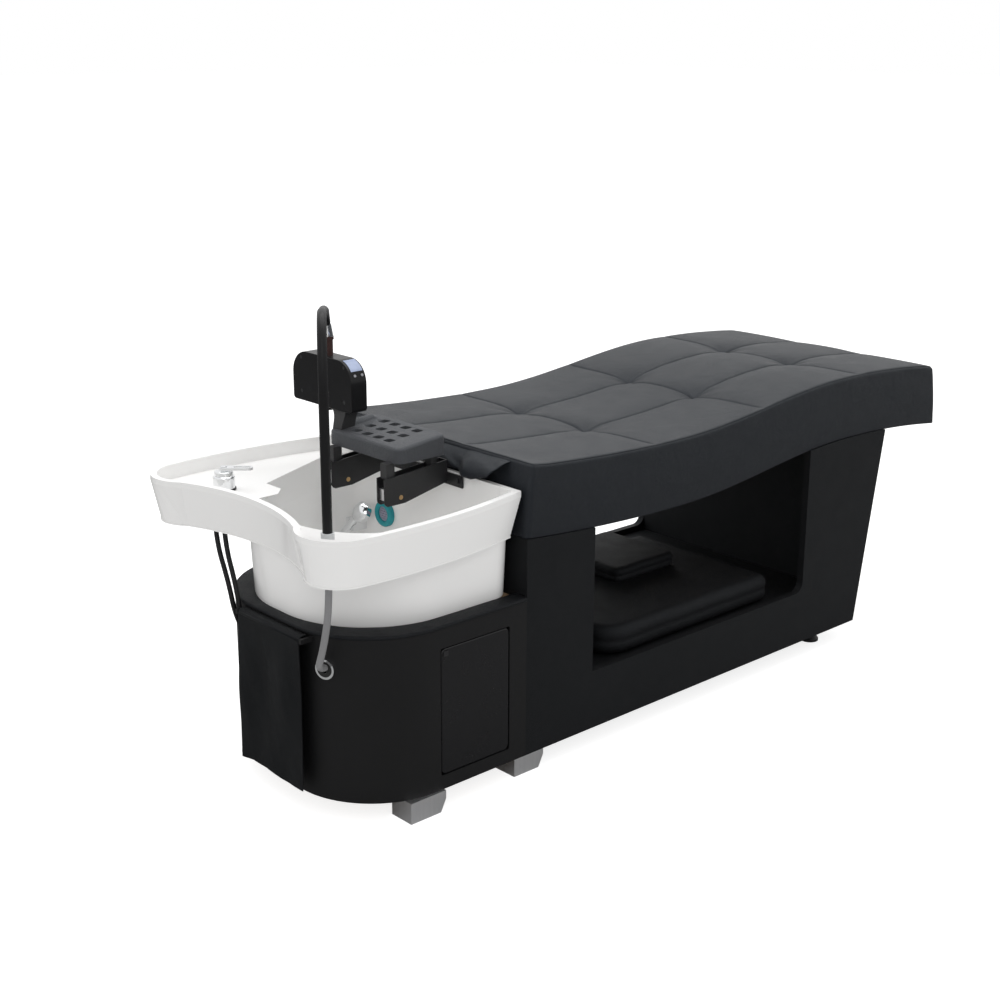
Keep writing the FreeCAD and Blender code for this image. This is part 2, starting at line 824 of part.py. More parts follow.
def service_apron():
    sheet_solid = lofted([apron_section(share) for share in drop_shares], True)
    near = Vector(-sheet.apron_rod_at, -sheet.apron_near, sheet.apron_rod_high)
    far = Vector(-sheet.apron_rod_at, sheet.apron_far, sheet.apron_rod_high)
    over = Vector(0, sheet.rod_over, 0)
    bore = sheet.apron_rod_radius + sheet.running_fit
    hem = rod(bore + sheet.apron_thick, near, far)
    hole = rod(bore, near - over, far + over)
    free("service_apron", sheet_solid.fuse(hem).cut(hole).removeSplitter())
    thick = sheet.rod_over - sheet.apron_thick * hook_gap_share
    radius = hook_share * sheet.apron_rod_radius
    cabinet_solid = doc.getObject("shell_block_fillet").Shape
    hooks = []
    for start in (near.y - sheet.rod_over, far.y + sheet.rod_over - thick):
        hook = brick(-sheet.apron_rod_at - radius, -sheet.cabinet_reach + sheet.overrun, start, start + thick,
                     sheet.apron_rod_high - radius, sheet.apron_rod_high + radius)
        hooks.append(hook.cut(cabinet_solid))
    free("apron_rail", rod(sheet.apron_rod_radius, near - over, far + over).fuse(hooks))


# Basin
def rim_wire(inset, high):
    spots = [Vector(-sheet.basin_reach * along, sheet.rim_flare * across, high) for along, across in rim_shares]
    spots += [Vector(one.x, -one.y, one.z) for one in reversed(spots[:-1])]
    edges = [arc(*spots[step:step + 3]) for step in range(0, len(spots) - 2, 2)]
    edges.append(line(spots[-1], spots[0]))
    wire = Part.Wire(edges)
    return wire.makeOffset2D(-inset) if inset else wire


def bow_at(before, spot, after, radius):
    back, ahead = (before - spot).normalize(), (after - spot).normalize()
    turn = math.pi - back.getAngle(ahead)
    reach = radius * math.tan(turn / 2)
    middle = spot + (back + ahead).normalize() * (radius / math.cos(turn / 2) - radius)
    return spot + back * reach, middle, spot + ahead * reach


def outline(high, half, head, far_head, bed, corner, bed_corner):
    spots = [Vector(-head, -half, high), Vector(-bed, -half, high), Vector(-bed, half, high),
             Vector(-head, far_head, high)]
    bows = [bow_at(spots[place - 1], spots[place], spots[(place + 1) % len(spots)], radius)
            for place, radius in enumerate((corner, bed_corner, bed_corner, corner))]
    edges = []
    for place, bow in enumerate(bows):
        edges.append(line(bows[place - 1][2], bow[0]))
        edges.append(arc(*bow))
    return Part.Wire(edges)


def bowl_solid(inset, top, floor):
    bowl = (sheet.bowl_half, sheet.bowl_head, sheet.bowl_far_head, sheet.bowl_bed, sheet.bowl_corner,
            sheet.bowl_bed_corner)
    neck = (sheet.neck_half, sheet.neck_head, sheet.neck_far_head, sheet.bowl_bed, sheet.neck_corner,
            sheet.bowl_bed_corner)
    base = (sheet.base_half, sheet.base_head, sheet.base_far_head, sheet.base_bed, sheet.base_corner,
            sheet.base_bed_corner)
    insets = [-inset, -inset, -sheet.slant_miter * inset, inset, -inset, -inset]
    skirt_low = sheet.rim_top - sheet.skirt_high
    deep = sheet.neck_high - floor

    def section(high, narrow, wide, small):
        sizes = [big + (little - big) * narrow for big, little in zip(wide, small)]
        return outline(high, *[size + shift for size, shift in zip(sizes, insets)])

    upper = [section(top, 0, bowl, neck), section(skirt_low, 0, bowl, neck), section(sheet.neck_high, 1, bowl, neck)]
    lower = [section(sheet.neck_high, 0, neck, base)]
    for down, narrow in zip(base_down_shares, base_narrow_shares):
        lower.append(section(sheet.neck_high - deep * down, narrow, neck, base))
    return lofted(upper, True).fuse(lofted(lower, True))


def deck_block(shift):
    near, foot = sheet.deck_near + shift, -sheet.deck_foot - shift
    away = sheet.basin_reach
    slope = sheet.deck_slope
    top = sheet.deck_top - shift
    low = top - sheet.deck_deep
    upper = [Vector(-away, near, top), Vector(foot - slope, near, top), Vector(foot, near + slope, top),
             Vector(foot, away, top), Vector(-away, away, top)]
    slide = sheet.deck_slide
    lower = [Vector(-away, near + slide, low), Vector(foot - slope - slide, near + slide, low),
             Vector(foot - slide, near + slope + slide, low), Vector(foot - slide, away, low),
             Vector(-away, away, low)]
    return lofted([ring_of(upper), ring_of(lower)], True)


def basin():
    low = sheet.rim_top - sheet.skirt_high
    fall = sheet.rim_fall
    skirt = lofted([rim_wire(sheet.skirt_inset, low), rim_wire(0, sheet.rim_top - fall)], True)
    band = Part.Face(rim_wire(0, sheet.rim_top - fall)).extrude(Vector(0, 0, fall))
    bead = Part.Face(rim_wire(sheet.skirt_inset - sheet.bead, low)).extrude(Vector(0, 0, 2 * sheet.bead))
    under = lofted([rim_wire(sheet.skirt_inset + sheet.bowl_wall, low - fall),
                    rim_wire(sheet.lip_wide + sheet.bowl_wall, sheet.deck_top - sheet.bowl_wall)], True)
    outer = skirt.fuse([band, bead]).cut(under)
    shell = bowl_solid(0, sheet.deck_top - sheet.bowl_wall / 2, sheet.base_high)
    shell = shell.cut(deck_block(sheet.bowl_wall))
    whole = outer.fuse(shell)
    recess = Part.Face(rim_wire(sheet.lip_wide, sheet.deck_top)).extrude(Vector(0, 0, sheet.skirt_high))
    hollow = bowl_solid(sheet.bowl_wall, sheet.rim_top, sheet.base_high + sheet.bowl_wall)
    hollow = hollow.cut(deck_block(0))
    whole = whole.cut(recess).cut(hollow)
    return whole


# Shares of the whole
grommet_turn = 22.4
drop_shares = (0.008, 0.35, 0.7, 1)
hook_gap_share = 0.67
hook_share = 2.5
fold_start_share = 0.25
fold_slant_share = 0.12
fold_shares = (-1, -0.62, -0.3, 0.02, 0.36, 0.7, 1)
fold_depth_shares = (0.6, 1, 0.7, 1, 0.8, 0.5)
rim_shares = ((0.0039, 0.899), (0.393, 1), (0.835, 0.997), (0.955, 0.9135), (1, 0.7435),
              (0.986, 0.651), (0.953, 0.576), (0.8703, 0))
base_down_shares = (0.35, 0.7, 0.92, 1)
base_narrow_shares = (0.12, 0.38, 0.72, 1)

cabinet()
cabinet_door()
service_apron()


# Headrest over the basin
def headrest_plate():
    part = new_body("plate_blank")
    corners = [("-plate_head", "plate_low"), ("-plate_foot", "plate_low"),
               ("-plate_foot", "plate_foot_top"), ("-plate_head", "plate_head_top")]
    feature = pad(part, sketch_on(part, "XZ_Plane", corners), "2 * plate_half", middle=True)
    feature = rounded(part, feature, lambda edge: runs(edge, 2), "plate_corner")
    low = feature.Shape.BoundBox.ZMin + sheet.pick_room
    feature = rounded(part, feature, lambda edge: edge.BoundBox.ZMin > low, "plate_edge")
    under = [("plate_wall - plate_head", "plate_low - overrun"), ("-plate_foot - plate_wall", "plate_low - overrun"),
             ("-plate_foot - plate_wall", "plate_foot_top - plate_wall"),
             ("plate_wall - plate_head", "plate_head_top - plate_wall")]
    pocket(part, sketch_on(part, "XZ_Plane", under), "2 * plate_half - 2 * plate_wall", middle=True)
    slots = []
    for along in (-1, 0, 1):
        for across in (-1.5, -0.5, 0.5, 1.5):
            at = sheet.slot_middle + along * sheet.slot_step
            side = across * sheet.slot_step
            slot = brick(at - sheet.slot_wide / 2, at + sheet.slot_wide / 2, side - sheet.slot_long / 2,
                         side + sheet.slot_long / 2, sheet.plate_low - sheet.seat_gap, sheet.hood_low)
            slots.append(softened(slot, sheet.slot_wide * slot_round_share, lambda edge: runs(edge, 2)))
    slotted = less("slotted_plate", part, cutter("slot_cutters", Part.makeCompound(slots)))
    made_parts.remove(slotted)
    joined = doc.addObject("Part::MultiFuse", "headrest_plate")
    joined.Shapes = [slotted, cutter("raised_cheek", cheek())]
    keep(joined)


def cheek():
    half = sheet.plate_half - sheet.plate_edge
    start, stop = sheet.plate_head - sheet.plate_corner, sheet.plate_foot + sheet.plate_corner
    slope = (sheet.plate_foot_top - sheet.plate_head_top) / (sheet.plate_head - sheet.plate_foot)
    sections = []
    for share, rise in zip(cheek_shares, cheek_rise_shares):
        at = -start + (start - stop) * share
        base = sheet.plate_head_top + (at + sheet.plate_head) * slope
        inner = Vector(at, half - sheet.cheek_wide, base - sheet.cheek_sink)
        top = Vector(at, half - sheet.cheek_wide / 3, base + sheet.cheek_high * rise)
        outer = Vector(at, half, base - sheet.cheek_sink)
        sections.append(Part.Wire([arc(inner, top, outer), line(outer, inner)]))
    return lofted(sections, True)


def headrest_arm(label, side):
    part = new_body(label)
    made_parts.remove(part)
    outer = [("-arm_head", "arm_top"), ("-arm_head", "arm_low"), ("pin_at + arm_round", "arm_low"),
             ("-arm_foot", "arm_foot_low"), ("-arm_foot", "arm_foot_top")]
    feature = pad(part, sketch_on(part, "XZ_Plane", outer, side), "arm_wide", middle=True)
    low = feature.Shape.BoundBox.ZMin
    rounded(part, feature, lambda edge: runs(edge, 1) and edge.BoundBox.ZMax < low + sheet.pick_room, "arm_round")
    web = "(pin_at + 2 * arm_round)"
    slope = "(arm_foot_low - arm_low) / (-arm_foot - pin_at - arm_round)"
    inner = [("-arm_head - overrun", "arm_top + overrun"), ("-arm_head - overrun", "arm_low - overrun"),
             (web, "arm_low - overrun"), (web, f"arm_low + arm_wall + arm_round * {slope}"),
             ("-arm_foot - arm_wall", f"arm_foot_low + arm_wall - arm_wall * {slope}"),
             ("-arm_foot - arm_wall", "arm_top + overrun")]
    pocket(part, sketch_on(part, "XZ_Plane", inner, side), "arm_wide - 2 * arm_wall", middle=True)
    pocket(part, circle_on(part, "XZ_Plane", "pin_at", "pin_high", "pin_radius", side),
           "2 * arm_wide", middle=True)
    return part


def headrest_leg(label, side):
    part = new_body(label)
    made_parts.remove(part)
    corners = [("-leg_head", "plate_low"), ("-leg_head", "arm_top"), ("-leg_head + arm_round", "arm_top - arm_round"),
               ("-leg_head + arm_round", "arm_low + arm_wall"), ("pin_at", "arm_low + leg_lift"),
               ("pin_at + arm_round", "arm_low + arm_wall * 2"), ("pin_at + arm_round", "pin_high + arm_round"),
               ("-leg_foot", "pin_high + 2 * arm_round"), ("-leg_foot", "plate_low")]
    pad(part, sketch_on(part, "XZ_Plane", corners, side), "leg_wide", middle=True)
    pocket(part, circle_on(part, "XZ_Plane", "pin_at", "pin_high", "pin_radius + running_fit", side),
           "2 * arm_wide", middle=True)
    return part


def headrest():
    headrest_plate()
    sides = (("near", "arm_side", -1), ("far", "-arm_side", 1))
    blocks, rear, pins, arms, legs = [], [], [], [], []
    for end, side, sign in sides:
        arms.append(headrest_arm("arm_" + end, side))
        legs.append(headrest_leg("leg_" + end, side))
        across = sign * sheet.arm_side
        reach = Vector(0, sheet.arm_wide / 2 + sheet.display_proud, 0)
        middle = Vector(sheet.pin_at, across, sheet.pin_high)
        pins.append(rod(sheet.pin_radius, middle - reach, middle + reach))
        half = sheet.leg_wide / 2
        front = sheet.arm_round - sheet.leg_head
        blocks.append(brick(front - sheet.arm_round - sheet.arm_wall, front, across - half, across + half,
                            sheet.pin_high - sheet.arm_wall, sheet.pin_high + 2 * sheet.arm_round))
        web = sheet.pin_at + sheet.arm_round
        slope = (sheet.arm_foot_low - sheet.arm_low) / (-sheet.arm_foot - web)
        rear_low = sheet.arm_low + sheet.arm_wall + slope * (-sheet.rear_leg_foot - web) + sheet.seat_gap
        rear.append(brick(-sheet.rear_leg_head, -sheet.rear_leg_foot, across - half, across + half,
                          rear_low, sheet.plate_foot_top - sheet.plate_wall / 2))
    free("headrest_pins", Part.makeCompound(pins))
    free("pivot_blocks", Part.makeCompound(blocks))
    hollow_plate = doc.getObject("plate_blank_pocket").Shape
    legs.append(cutter("rear_legs", Part.makeCompound(rear).cut(hollow_plate)))
    for name, members in (("headrest_arms", arms), ("headrest_legs", legs)):
        group = doc.addObject("Part::Compound", name)
        group.Links = members
        keep(group)


def headrest_mount():
    bolts = []
    shanks = []
    high = (sheet.mount_low + sheet.mount_high) / 2
    for side in (-1, 1):
        for share in bolt_shares:
            across = side * sheet.mount_half * share
            face = Vector(-sheet.arm_foot, across, high)
            head = face - Vector(sheet.bolt_radius, 0, 0)
            tip = face + Vector(sheet.mount_thick * 3, 0, 0)
            shank = rod(sheet.bolt_radius, face, tip)
            shanks.append(shank)
            bolts.append(shank.fuse(rod(sheet.bolt_radius * 2, head, face)))
    plate = brick(-sheet.arm_foot, sheet.mount_thick - sheet.arm_foot, -sheet.mount_half, sheet.mount_half,
                  sheet.mount_low, sheet.mount_high)
    free("headrest_mount", plate.fuse(bolts))
    return shanks


# Hood with its display
def hood_outline(part, offset, inset="0"):
    corners = [(f"hood_near + {inset}", f"hood_low + {inset}"), (f"hood_far - {inset}", f"hood_low + {inset}"),
               (f"hood_far - {inset}", f"hood_high - {inset}"), (f"hood_near + {inset}", f"hood_high - {inset}")]
    return sketch_on(part, "YZ_Plane", corners, offset)


def hood_rounds(part, inset=""):
    box = part.Tip.Shape.BoundBox
    rounded(part, part.Tip, lambda edge: runs(edge, 0) and edge.BoundBox.ZMax > box.ZMax - sheet.pick_room,
            "hood_round" + inset)
    rounded(part, part.Tip, lambda edge: runs(edge, 0) and edge.BoundBox.ZMin < box.ZMin + sheet.pick_room,
            "hood_low_round" + inset)


def shoulder_spot(angle, radius, at):
    turn = math.radians(angle)
    return Vector(at, sheet.hood_near + sheet.hood_round - radius * math.sin(turn),
                  sheet.hood_high - sheet.hood_round + radius * math.cos(turn))


def shoulder_band(start, stop, inner, outer, head, foot):
    middle = (start + stop) / 2
    low = [shoulder_spot(angle, inner, head) for angle in (start, middle, stop)]
    top = [shoulder_spot(angle, outer, head) for angle in (start, middle, stop)]
    edges = [arc(*low), line(low[2], top[2]), arc(*reversed(top)), line(top[0], low[0])]
    return Part.Face(Part.Wire(edges)).extrude(Vector(foot - head, 0, 0))


def hood():
    part = new_body("hood_blank")
    front = "cover_thick - hood_head"
    pad(part, hood_outline(part, front), "hood_head - hood_foot - cover_thick")
    hood_rounds(part)
    foot_line = part.Tip.Shape.BoundBox.XMax - sheet.pick_room
    rounded(part, part.Tip, lambda edge: edge.BoundBox.XMin > foot_line, "hood_wall")
    space = new_body("hood_space")
    pad(space, hood_outline(space, front, "hood_wall"), "hood_head - hood_foot - cover_thick - hood_wall")
    hood_rounds(space, " - hood_wall")
    walls = less("hood_walls", part, space)
    head = sheet.display_in - sheet.hood_head + sheet.display_step
    foot = -sheet.hood_foot - sheet.display_in
    radius = sheet.hood_round
    window = shoulder_band(*display_span, radius - sheet.display_proud * 2, radius + sheet.overrun, head, foot)
    cuts = [window]
    for at in button_spots():
        cuts.append(rod(sheet.button_radius + sheet.running_fit, shoulder_spot(button_turn, radius / 2, at),
                        shoulder_spot(button_turn, radius * 2, at)))
    bare = less("hood_bare", walls, cutter("hood_cuts", Part.makeCompound(cuts)))
    free("hood_display", shoulder_band(*display_span, radius - sheet.display_proud * 2,
                                       radius + sheet.display_proud, head, foot))
    cover = new_body("cover_blank")
    pad(cover, hood_outline(cover, "-hood_head"), "cover_thick")
    hood_rounds(cover)
    head_line = cover.Tip.Shape.BoundBox.XMin + sheet.pick_room / 2
    rounded(cover, cover.Tip, lambda edge: edge.BoundBox.XMax < head_line, "display_proud", "Chamfer")
    screws, bores = [], []
    for across, up in screw_spots():
        face = Vector(-sheet.hood_head, across, up)
        tip = face + Vector(sheet.cover_thick * 3, 0, 0)
        seat = face + Vector(sheet.display_proud * 2, 0, 0)
        screws.append(rod(sheet.screw_radius, face + Vector(sheet.display_proud / 2, 0, 0), seat).fuse(
            rod(sheet.bolt_radius / 2, seat, tip)))
        bores.append(rod(sheet.screw_radius, face - Vector(sheet.pick_room, 0, 0), seat).fuse(
            rod(sheet.bolt_radius / 2, seat, tip)))
    less("hood_cover", cover, cutter("screw_bores", Part.makeCompound(bores)))
    free("hood_screws", Part.makeCompound(screws))
    bosses = []
    for across, up in screw_spots():
        start = Vector(sheet.cover_thick - sheet.hood_head, across, up)
        stop = Vector(-sheet.hood_foot - sheet.hood_wall, across, up)
        tip = start + Vector(sheet.cover_thick * 2, 0, 0)
        bosses.append(rod(sheet.screw_radius, start, stop).cut(rod(sheet.bolt_radius / 2, start, tip)))
    inside = [cutter("hood_posts", Part.makeCompound(bosses)), cutter("hood_outlet", outlet_pipe())]
    shell = doc.addObject("Part::MultiFuse", "hood_shell")
    made_parts.remove(bare)
    shell.Shapes = [bare] + inside
    keep(shell)
    for name, at in zip(("hood_button_plus", "hood_button_minus"), button_spots()):
        free(name, rod(sheet.button_radius, shoulder_spot(button_turn, radius + sheet.button_proud - sheet.button_deep, at),
                       shoulder_spot(button_turn, radius + sheet.button_proud, at)))


def screw_spots():
    return [(across, up) for across in (sheet.hood_near + sheet.screw_near_in, sheet.hood_far - sheet.screw_far_in)
            for up in (sheet.hood_low + sheet.screw_low_in, sheet.hood_high - sheet.screw_top_in)]


def button_spots():
    first = sheet.stem_at - sheet.button_first
    return first, first + sheet.button_step


def hood_inlet():
    base = Vector(sheet.stem_at, sheet.stem_side, sheet.hood_high)
    up = Vector(0, 0, 1)
    collar = base + up * sheet.inlet_high
    free("inlet_stem", rod(sheet.inlet_radius, base, collar).fuse(
        rod(sheet.collar_radius, collar, collar + up * sheet.collar_high)))
    seat = collar + up * sheet.collar_high
    top = nut_top()
    axis = (top - seat).normalize()
    high = (top - seat).Length
    tilt = math.acos(axis.z)
    sink = sheet.nut_radius * math.tan(tilt)
    cone = Part.makeCone(sheet.nut_radius, sheet.nut_top_radius, high + sink, seat - axis * sink, axis)
    clear = Part.makeBox(4 * sheet.overrun, 4 * sheet.overrun, sheet.overrun,
                         seat - Vector(2 * sheet.overrun, 2 * sheet.overrun, sheet.overrun))
    free("swivel_nut", cone.cut(clear))


def outlet_pipe():
    low = Vector(sheet.stem_at, sheet.stem_side, sheet.hood_low - sheet.inlet_radius)
    return rod(sheet.outlet_radius, low, Vector(low.x, low.y, sheet.hood_high - sheet.hood_wall))


def nut_top():
    seat = sheet.hood_high + sheet.inlet_high + sheet.collar_high
    return Vector(sheet.stem_at - sheet.nut_head, sheet.stem_side - sheet.nut_near, seat + sheet.nut_high)


def hood_bracket(plate_solid):
    sections = []
    for share, head_share, foot_share, near_share, far_share in bracket_shares:
        high = sheet.plate_low + (sheet.hood_low - sheet.plate_low) * share
        head, foot = -sheet.hood_head * head_share, -sheet.hood_head * foot_share
        near, far = sheet.plate_half * near_share, sheet.plate_half * far_share
        sections.append(ring_of([Vector(head, near, high), Vector(foot, near, high), Vector(foot, far, high),
                                 Vector(head, far, high)]))
    free("hood_bracket", lofted(sections).cut([plate_solid, cheek()]))


# Water fittings
def hose(label, radius, points):
    spots = [Vector(*point) for point in points]
    edges = []
    last = spots[0]
    bends = []
    for place in range(1, len(spots) - 1):
        before, spot, after = spots[place - 1:place + 2]
        back, ahead = before - spot, after - spot
        turn = math.pi - back.getAngle(ahead)
        bend = bend_share * min(back.Length, ahead.Length) / math.tan(turn / 2)
        first, middle, second = bow_at(before, spot, after, bend)
        edges += [line(last, first), arc(first, middle, second)]
        last = second
        bends.append(round(bend))
    edges.append(line(last, spots[-1]))
    route = Part.Wire(edges)
    way = spots[1] - spots[0]
    profile = Part.Wire(Part.makeCircle(radius, spots[0], way))
    shape = route.makePipeShell([profile], True, False)
    expected = math.pi * radius ** 2 * route.Length
    print(label, "bend radii", bends, "length", round(route.Length), "volume share",
          round(shape.Volume / expected, 3))
    free(label, shape)
    return shape


def riser():
    foot = Vector(sheet.riser_at, sheet.riser_side, sheet.deck_top)
    up = Vector(0, 0, 1)
    ring_high = sheet.rim_top + sheet.ring_proud - sheet.deck_top
    ring = rod(sheet.riser_ring_radius, foot, foot + up * ring_high)
    ring = softened(ring, sheet.display_proud * 2, lambda edge: edge.BoundBox.ZMin > foot.z + sheet.pick_room)
    pipe = rod(sheet.riser_radius, foot - up * (sheet.bowl_wall + sheet.pipe_below), foot + up * (sheet.riser_top - sheet.deck_top))
    free("riser_ring", ring.cut(pipe))
    free("riser_pipe", pipe)
    return pipe


def hood_hose():
    start = Vector(sheet.riser_at, sheet.riser_side, 0)
    stop = nut_top()
    axis = Vector(-sheet.nut_head, -sheet.nut_near, sheet.nut_high).normalize()
    across = Vector(stop.x - start.x, stop.y - start.y, 0)
    points = [(start.x, start.y, sheet.riser_top)]
    for share, high in zip(loop_shares, loop_highs()):
        spot = start + across * share
        points.append((spot.x, spot.y, high))
    points.append(tuple(stop + axis * sheet.lead_long))
    points.append(tuple(stop))
    hose("hood_hose", sheet.hose_radius, points)


def loop_highs():
    rise = sheet.loop_high - sheet.riser_top
    return [sheet.riser_top + rise * share for share in loop_rise_shares]


def grommet():
    spot, facing = grommet_spot()
    flange = sheet.gasket_high
    front, back = spot + facing * flange, spot - facing * (sheet.cabinet_wall + flange)
    ring = rod(sheet.grommet_radius, spot - facing * flange, front).fuse(rod(sheet.grommet_neck, back, front))
    corner = sheet.cabinet_corner
    centre = Vector(corner - sheet.cabinet_reach, corner - sheet.bed_width / 2, 0)
    wall_solid = rod(corner, centre, centre + Vector(0, 0, sheet.cabinet_top))
    ring = ring.cut(wall_solid.cut(rod(sheet.grommet_neck, back - facing * flange, front + facing * flange)))
    bore = rod(sheet.lower_radius + sheet.seat_gap, back - facing * flange, front + facing * flange)
    free("grommet", ring.cut(bore))
    return spot, facing


def lower_hose(spot, facing):
    start = (sheet.riser_at, sheet.riser_side, sheet.deck_top - sheet.bowl_wall - sheet.pipe_below)
    low = spot + facing * sheet.lead_long
    end = spot - facing * (sheet.lead_long + sheet.cabinet_wall)
    belly = low + Vector(-sheet.belly_head, -sheet.belly_near, sheet.belly_high)
    points = [start, (sheet.riser_at, sheet.riser_side, sheet.neck_high + sheet.hose_drop), tuple(belly),
              tuple(low), tuple(end)]
    hose("lower_hose", sheet.lower_radius, points)
    return end


def supply_hoses():
    under = sheet.deck_top - sheet.bowl_wall
    ends = []
    for label, shares in (("supply_hose_hot", hot_hose_shares), ("supply_hose_cold", cold_hose_shares)):
        route = [(-sheet.basin_reach * along, sheet.basin_reach * across, under * up) for along, across, up in shares]
        hose(label, sheet.supply_radius, route)
        ends.append(Vector(*route[-1]))
    middle = (ends[0] + ends[1]) / 2
    low = middle.z - sheet.valve_deep
    valve = brick(middle.x - sheet.valve_long / 2, middle.x + sheet.valve_long / 2,
                  middle.y - sheet.valve_wide / 2, middle.y + sheet.valve_wide / 2, low, middle.z)
    stubs = [rod(sheet.stub_radius, Vector(middle.x, side, sheet.waste_low), Vector(middle.x, side, low))
             for side in (middle.y - sheet.stub_step / 2, middle.y + sheet.stub_step / 2)]
    free("valve_block", valve.fuse(stubs))
    return stubs


def faucet():
    centre = Vector(sheet.faucet_at, sheet.faucet_side, sheet.deck_top)
    up = Vector(0, 0, 1)
    base = centre + up * sheet.gasket_high
    body = rod(sheet.faucet_radius, base, base + up * sheet.faucet_high)
    body = softened(body, sheet.lever_thick, lambda edge: edge.BoundBox.ZMin > base.z + sheet.pick_room)
    shank = rod(sheet.pin_radius * 2, centre - up * (sheet.bowl_wall + sheet.shank_below), base)
    free("faucet_gasket", rod(sheet.gasket_radius, centre, base).cut(shank))
    free("faucet_body", body.fuse(shank))
    top = base.z + sheet.faucet_high
    cap = rod(sheet.cap_radius, Vector(0, 0, top), Vector(0, 0, top + sheet.cap_high))
    cap = softened(cap, sheet.lever_thick / 2, lambda edge: edge.BoundBox.ZMin > top + sheet.pick_room)
    crown = top + sheet.cap_high
    thick, wide, pin = sheet.lever_thick, sheet.lever_wide, sheet.lever_pin
    pivot = crown + thick * 1.1
    lug = brick(-thick, thick, -wide / 5, wide / 5, crown - sheet.seat_gap, pivot + pin + sheet.lug_cover)
    reach = Vector(0, wide / 2, 0)
    middle = Vector(0, 0, pivot)
    cap = cap.fuse(lug).cut(rod(pin + sheet.running_fit, middle - reach, middle + reach))
    lever = brick(-1.4 * thick, sheet.lever_reach, -wide / 2, wide / 2, pivot - thick / 2, pivot + thick / 2)
    lever = softened(lever, wide * 0.45, lambda edge: runs(edge, 2) and edge.BoundBox.XMin > 0)
    slot = brick(wide, sheet.lever_reach - wide / 4, -wide / 4, wide / 4, crown, pivot + wide)
    slot = softened(slot, wide * 0.22, lambda edge: runs(edge, 2))
    gap = wide / 5 + sheet.seat_gap
    fork = brick(-wide, 1.5 * thick, -gap, gap, crown, pivot + wide)
    pin_rod = rod(pin, middle - reach, middle + reach)
    lever = lever.cut(slot).cut(fork).fuse(pin_rod)
    for name, shape in (("faucet_cap", cap), ("faucet_lever", lever)):
        shape.rotate(Vector(0, 0, 0), up, lever_turn)
        shape.translate(Vector(0, centre.y, 0))
        free(name, shape, "faucet_at")
    return shank


def strainer():
    wall_at = -sheet.bowl_bed - sheet.bowl_wall
    centre = Vector(wall_at, sheet.strainer_side, sheet.strainer_high)
    out = Vector(-1, 0, 0)
    deep = sheet.strainer_deep
    ring = rod(sheet.strainer_radius, centre, centre + out * deep)
    ring = softened(ring, deep * 0.45, lambda edge: edge.BoundBox.XMax < wall_at - deep / 2)
    ring = ring.cut(rod(sheet.strainer_inner, centre, centre + out * deep))
    ring = softened(ring, deep * 0.3, lambda edge: edge.BoundBox.XMax < wall_at - deep / 2
                    and edge.BoundBox.ZLength < 2 * sheet.strainer_inner + sheet.pick_room)
    free("strainer_ring", ring)
    grille = rod(sheet.strainer_inner - sheet.running_fit, centre, centre + out * deep * 0.5)
    spigot = rod(sheet.strainer_inner / 2, centre - out * (sheet.bowl_wall / 2), centre)
    slots = []
    for step in range(-2, 3):
        high = centre.z + step * sheet.strainer_inner / 3
        wide = math.sqrt(sheet.strainer_inner ** 2 - (high - centre.z) ** 2) - sheet.strainer_land
        slots.append(brick(wall_at - deep, wall_at - deep * 0.3, centre.y - wide, centre.y + wide,
                           high - sheet.grille_slot / 2, high + sheet.grille_slot / 2))
    free("strainer_grille", grille.fuse(spigot).cut(Part.makeCompound(slots)))
    return rod(sheet.strainer_inner / 2 + sheet.running_fit, centre - out * (sheet.bowl_wall / 2), centre)


def hand_shower():
    head = Vector(sheet.spray_at, sheet.spray_side, sheet.spray_high)
    way = Vector(-math.cos(math.radians(spray_tilt)), 0, math.sin(math.radians(spray_tilt)))
    radius = sheet.spray_radius
    thick = radius * 0.5
    dome = rod(radius, head - way * thick, head)
    ball = Part.makeSphere(radius * 1.25, head - way * radius * 0.75)
    shell = rod(radius, head, head + way * radius).common(ball)
    end = Vector(sheet.spray_at - sheet.handle_lean, sheet.handle_end_side, sheet.handle_end_high)
    handle = rod(sheet.handle_radius, head, end)
    tip = Part.makeSphere(sheet.handle_radius, end)
    body = dome.fuse([shell, handle, tip])
    free("hand_shower", body)
    face = head - way * thick
    plate = rod(radius * 0.85, face - way * sheet.face_thick, face)
    free("shower_face", plate.cut(body))
    along = (end - head).normalize()
    middle = head + (end - head) * holder_share
    wall_at = -sheet.bowl_bed - sheet.bowl_wall
    half = sheet.handle_radius + sheet.holder_wall
    block_solid = brick(middle.x - sheet.holder_front, wall_at, middle.y - half, middle.y + half, middle.z - half, middle.z + half)
    span = along * sheet.overrun
    room = sheet.handle_radius + sheet.seat_gap
    slot = rod(room, middle - span, middle + span)
    slide = Vector(-sheet.overrun, 0, 0)
    side = along.cross(Vector(1, 0, 0)).normalize() * room
    corners = [middle - span + side, middle + span + side, middle + span - side, middle - span - side]
    free("shower_holder", block_solid.cut(slot).cut(slab(corners, slide)))


